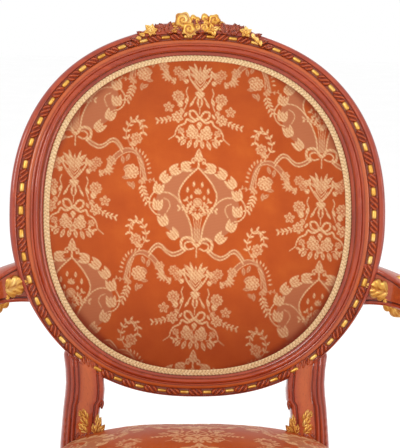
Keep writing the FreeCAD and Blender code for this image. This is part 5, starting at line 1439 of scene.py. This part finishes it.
def arm_pad(path):
    """The manchette: a crowned pad on the arm in the same lampas, its sides drawn in under the gimp."""
    top = path[-1][2] + 15
    x0, y0 = ARM_X, -28.0
    half_x, half_y = 22.5, 94.0
    count = 110
    angle, radius = disc_grid(count, count * 2)
    radius = np.clip(radius, 0, 1)
    rim_u, rim_v = superellipse(angle, PAD_CORNER)
    u, v = rim_u * radius, rim_v * radius
    spread = np.clip(np.maximum(np.abs(u), np.abs(v) ** 1.6), 0, 1) ** 2.6
    up = 4.0 + 12.5 * (1 - spread) + 0.5 * np.sin(v * 9) * (1 - radius)
    cx, cy = u * half_x + 62, v * half_y + 20
    figure, second = lampas(cx, cy)
    up = up + 0.25 * figure
    pad = Piece(LAMPAS)
    bulge = 1 + 0.03 * smooth(0.8, 1, radius)
    pad.grid(lanes(x0 + u * half_x * bulge, y0 + v * half_y * bulge, top + up), towards=(0, 0, 1), figure=figure,
             second=second, shade=0.4 * smooth(0.85, 1, radius), u=cx, v=cy)
    turn = round_turn(240)
    rim_u, rim_v = superellipse(turn, PAD_CORNER)
    rim_x, rim_y = rim_u * half_x, rim_v * half_y
    for low, levels in ((None, ((1.03, 4.0), (1.01, 2.0), (0.99, 0.2), (0.9, 0.0))),
                        ((0, 0, -1), ((0.95, -0.4), (0.5, -0.4), (0.02, -0.4)))):
        rows = [lanes(x0 + rim_x * k, y0 + rim_y * k, top + h) for k, h in levels]
        pad.grid(np.array(rows), round_j=True, towards=low, shade=0.0 if low else 0.4)
    run = run_length(np.append(rim_x, rim_x[0]), np.append(rim_y, 0))
    fine = np.linspace(0, run[-1], 720)
    rim_u, rim_v = superellipse(np.interp(fine, run, np.append(turn, 2 * math.pi))[:, None], PAD_CORNER)
    edge, up, recess = braid_band(fine, 3.6)
    nx, ny = unit(lanes(rim_u * half_y, rim_v * half_x, 0))[..., :2].transpose(2, 0, 1)
    out = 0.6 + up * 0.8
    points = lanes(x0 + rim_u * half_x + nx * out, y0 + rim_v * half_y + ny * out, top + 3.8 + edge)
    braid = Piece(BRAID)
    braid.grid(points, recess=recess)
    return pad, braid


def arm_leaf(path):
    """Acanthus on the inner side of the arm's root: three lobed blades opening forward, and one back."""
    gold = Piece(GILDING)
    along = unit(path[16] - path[6])
    inner = unit(np.cross(along, Z_AXIS))
    over = np.cross(inner, along)
    for k, lift, turn, length, width in ((15, -6, 2, 56, 34), (16, 3, 24, 40, 28), (16, -13, -24, 44, 30),
                                         (18, -4, 172, 36, 34)):
        middle = path[k] + inner * 10.2 + over * lift
        petal(gold, turned((middle, along, over, inner), turn), length, width, 5.0,
              bend=turn * 0.3 if abs(turn) < 90 else 0, veins=4, lobes=2.5, curl=0.05, recess=0.6,
              place=as_placed)
    return gold


def arms():
    """Both arms with posts, pads and gimps, the left ones being mirror images, and the gilt leaves at the roots."""
    arm, path = one_arm()
    post = post_of_arm(path[-1])
    pad, braid = arm_pad(path)
    leaf = arm_leaf(path)
    for side in ("right", "left"):
        if side == "left":
            arm, post, pad, braid = (piece.mirror() for piece in (arm, post, pad, braid))
        for piece, name in ((arm, f"{side}_arm"), (post, f"{side}_arm_post")):
            piece.build(name, "mahogany", [name])
        made = pad.build(f"{side}_arm_pad", "silk_lampas", [f"{side}_arm_pad_cover", f"{side}_arm_pad_stuffing"],
                         sharp=0, uv=("u", "v"))
        braid.build(f"{side}_arm_pad_gimp", "gimp_braid", sharp=0)
    leaf.join(leaf.mirror())
    leaf.build("arm_leaves", "gilding", ["arm_leaves"], sharp=0)


arms()


# The seat: sprung and stuffed, covered in the lampas, with gimp along the show-wood

SEAT_CORNER = 9.0
SEAT_EDGE, SEAT_CROWN, SEAT_ROLL = 414, 60, 16


def seat_half(share):
    """Half the seat's width at a share of its depth, -1 in front and 1 behind, with the bowed sides."""
    return (FRONT_WIDTH + REAR_WIDTH) / 4 - (FRONT_WIDTH - REAR_WIDTH) / 4 * share + SIDE_BOW * (1 - share**2)


def seat_plan(a, b):
    """Plan of the seat from a square: the trapezium with its three bows, and the frame's shift."""
    x = a * seat_half(b)
    bow = np.where(b < 0, FRONT_BOW, REAR_BOW) * (1 - a * a) * b
    return x, b * FRAME_DEPTH / 2 + bow + SHIFT


def seat_crown(a, b):
    """Height of the seat: edge + crown (1 - |a|^3)(1 - fall), fall .68 b^2 behind and |b|^3 in front."""
    fall = np.where(b > 0, 0.68 * b * b, np.abs(b) ** 3)
    return SEAT_EDGE + SEAT_CROWN * (1 - np.abs(a) ** 3) * (1 - fall)


def seat_face():
    """The seat's top as one fine sheet out to its rolled edge: plan shares, places in mm and the disc's radius."""
    count = 380
    angle, radius = disc_grid(count, count)
    rim_a, rim_b = superellipse(angle, SEAT_CORNER)
    radius = np.clip(radius, 0, 1)
    a, b = rim_a * radius, rim_b * radius
    x, y = seat_plan(a, b)
    roll = np.clip((radius - 0.88) / 0.12, 0, 1)
    z = seat_crown(a, b) - SEAT_ROLL * (1 - np.sqrt(np.clip(1 - roll**2, 0, 1)))
    return a, b, x, y, z, radius


def seat_cloth(x, y):
    """Where a point of the seat lies on the cloth."""
    return x + 2 + PATTERN_FALL * 20, (y - SHIFT) * 1.03 + 60


def seat():
    """The cover with its top, its sides down to the show-wood and a closed underside, and the gimp along it."""
    a, b, x, y, z, radius = seat_face()
    cx, cy = seat_cloth(x, y)
    figure, second = lampas(cx, cy)
    wrinkle = 0.6 * np.sin(12 * a + 3 * b) * smooth(0.75, 0.98, radius) * np.sin(9 * b + 2)
    cover = Piece(LAMPAS)
    cover.grid(lanes(x, y, z + 0.3 * figure + wrinkle), towards=(0, 0, 1), figure=figure, second=second,
               shade=0.12 + 0.3 * smooth(0.8, 1, radius), u=cx, v=cy)
    turn = round_turn(1200)
    ring_a, ring_b = superellipse(turn, SEAT_CORNER)
    top_z = seat_crown(ring_a, ring_b) - SEAT_ROLL
    base_x, base_y = seat_plan(ring_a, ring_b)
    outward = unit(np.stack([np.gradient(base_y), -np.gradient(base_x)], -1))
    drops = np.linspace(0, 1, 26)[:, None]
    floor = SHOW_WOOD_TOP + 0.4
    heights = top_z + (floor - top_z) * drops
    belly = 2.2 * np.sin(math.pi * drops) - 1.0 * drops
    sx, sy = base_x + outward[:, 0] * belly, base_y + outward[:, 1] * belly
    fallen = top_z - heights
    su, sv = seat_cloth(base_x, base_y)
    su, sv = su + outward[:, 0] * fallen, sv + outward[:, 1] * fallen
    f2, s2 = lampas(su, sv)
    cover.grid(lanes(sx, sy, heights), round_j=True, figure=f2, second=s2,
               shade=0.3 + 0.25 * drops, u=su, v=sv)
    under = [lanes(*seat_plan(ring_a * k, ring_b * k), floor) for k in (0.995, 0.6, 0.02)]
    cover.grid(np.array(under), round_j=True, towards=(0, 0, -1))
    made = cover.build("seat_cover", "silk_lampas", ["seat_cover", "seat_stuffing"], sharp=0, uv=("u", "v"))

    run = run_length(base_x, base_y)
    fine = np.linspace(0, run[-1], 2600)
    gx, gy = np.interp(fine, run, base_x)[:, None], np.interp(fine, run, base_y)[:, None]
    nx, ny = (np.interp(fine, run, outward[:, k])[:, None] for k in (0, 1))
    edge, up, recess = braid_band(fine, GIMP_WIDTH / 2)
    out = up * 0.9 + 0.2
    braid = Piece(BRAID)
    braid.grid(lanes(gx + nx * out, gy + ny * out, SHOW_WOOD_TOP + GIMP_WIDTH / 2 + 0.6 + edge), recess=recess)
    braid.build("seat_gimp", "gimp_braid", ["seat_gimp"], sharp=0)


seat()


# Front legs and rosettes


def front_legs():
    """Each front leg with its block, standing straight on its glide."""
    y = FRONT_LEG_Y + SHIFT
    right = Piece(MAHOGANY_UP)
    rounded_block(right, FRONT_LEG_X - 27, FRONT_LEG_X + 27, y - 27, y + 27, LEG_BLOCK)
    leg_surface(right, BLOCK_BOTTOM - GLIDE_HEIGHT, lambda p: p + np.array([FRONT_LEG_X, y, GLIDE_HEIGHT]))
    build_both(right, "front_leg")


def leg_rosettes():
    """Gilded rosettes on the leg blocks: eight petals round a button, inside a turned ring."""
    gold = Piece(GILDING)
    y = FRONT_LEG_Y + SHIFT
    low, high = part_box("leg_rosettes")
    middle = (low.z + high.z) / 2 / MM
    faces = ((np.array([FRONT_LEG_X, y - 26.6, middle]), X_AXIS, Z_AXIS, -Y_AXIS),
             (np.array([FRONT_LEG_X + 26.6, y, middle]), Y_AXIS, Z_AXIS, X_AXIS))
    for seat in faces:
        for k in range(8):
            petal(gold, turned(seat, 45 * k), 13.2, 9.6, 2.9, curl=0.04, place=as_placed)
        rose(gold, (seat[0] + seat[3] * 1.5, *seat[1:]), 4.6, 1.2, 5, place=as_placed)
        a = round_turn(64)[None]
        t = round_turn(10)[:, None]
        r = 14.6 + 1.3 * np.cos(t)
        ring = in_place(seat, r * np.cos(a), r * np.sin(a), 1.0 + 1.3 * np.sin(t))
        gold.grid(ring, round_i=True, round_j=True, recess=0.2)
    gold.join(gold.mirror())
    gold.build("leg_rosettes", "gilding", ["leg_rosettes"], sharp=0)


front_legs()
leg_rosettes()


# Floor, light and camera


def stage_floor():
    """A pale plain floor under the glides, forty metres wide so that it fades into the tent."""
    bpy.ops.mesh.primitive_grid_add(x_subdivisions=12, y_subdivisions=12, size=40.0)
    floor = bpy.context.object
    floor.name = "studio_floor"
    floor.data.materials.append(pale_floor())


def pale_floor():
    """Matt studio paper, nearly white, with a faint mottle from its coating."""
    material, tree, space = start("studio_paper")
    mottle = add(tree, "TexNoise", {"Vector": space, "Scale": 3.0, "Detail": 3.0})
    paper = add(tree, "ValToRGB", {"Fac": mottle}, ((0.3, "#FDFDFD"), (0.7, "#FFFFFF")))
    return end(material, paper, Roughness=0.9)


def soft_light(name, place, target, width, height, watts, tint="#FFFFFF"):
    """A softbox at a place in metres, turned to a target."""
    light = bpy.data.lights.new(name, "AREA")
    light.shape, light.size, light.size_y = "RECTANGLE", width, height
    light.energy = watts
    light.color = colour(tint)[:3]
    lamp = bpy.data.objects.new(name, light)
    bpy.context.scene.collection.objects.link(lamp)
    lamp.location = place
    lamp.rotation_euler = (Vector(target) - Vector(place)).to_track_quat("-Z", "Y").to_euler()
    return lamp


def studio_light():
    """A bright even tent, a key softbox high on the camera's left, a strip on the right and one behind."""
    world = bpy.data.worlds.new("white_tent")
    bpy.context.scene.world = world
    world.use_nodes = True
    tent = world.node_tree.nodes["Background"]
    tent.inputs[0].default_value = colour("#FFFFFF")
    tent.inputs[1].default_value = 1.0
    soft_light("key_softbox", (-1.5, -2.6, 2.3), (0, 0.1, 0.7), 1.1, 1.1, 34)
    soft_light("side_strip", (2.3, -1.6, 1.5), (0, 0.2, 0.7), 0.5, 1.6, 14, "#FFF4EC")
    soft_light("rear_softbox", (0.6, 3.0, 2.4), (0, 0.1, 0.6), 1.6, 1.2, 18)


CAMERA_AZIMUTH, CAMERA_ELEVATION, CAMERA_ROLL = (math.radians(a) for a in (-3.0, 10.0, 1.2))
CAMERA_DISTANCE, FOCAL_PIXELS, FRAME_CENTRE = 1.790, 1237.0, (197.7, 215.4)
IMAGE_WIDTH, IMAGE_HEIGHT, SENSOR = 400, 448, 36.0


def photo_camera():
    """The photograph's view: nearly square on, from a little above, on the middle of the oval."""
    eye_target = Vector((0.0, (BACK_BEHIND - 15) * MM, MEDALLION_HEIGHT * MM))
    a, e, roll = CAMERA_AZIMUTH, CAMERA_ELEVATION, CAMERA_ROLL
    back = Vector((math.sin(a) * math.cos(e), -math.cos(a) * math.cos(e), math.sin(e)))
    right = Vector((math.cos(a), math.sin(a), 0))
    up = back.cross(right)
    right, up = right * math.cos(roll) + up * math.sin(roll), up * math.cos(roll) - right * math.sin(roll)
    lens = bpy.data.cameras.new("photo_camera")
    lens.sensor_width = SENSOR
    lens.lens = FOCAL_PIXELS * SENSOR / IMAGE_HEIGHT
    lens.shift_x = (IMAGE_WIDTH / 2 - FRAME_CENTRE[0]) / IMAGE_HEIGHT
    lens.shift_y = (FRAME_CENTRE[1] - IMAGE_HEIGHT / 2) / IMAGE_HEIGHT
    lens.clip_start, lens.clip_end = 0.05, 60
    camera = bpy.data.objects.new("photo_camera", lens)
    bpy.context.scene.collection.objects.link(camera)
    camera.matrix_world = Matrix((
        (right.x, up.x, back.x, 0), (right.y, up.y, back.y, 0), (right.z, up.z, back.z, 0), (0, 0, 0, 1)
    ))
    camera.location = eye_target + back * CAMERA_DISTANCE
    bpy.context.scene.camera = camera


stage_floor()
studio_light()
photo_camera()
bpy.context.scene.view_settings.view_transform = "Standard"
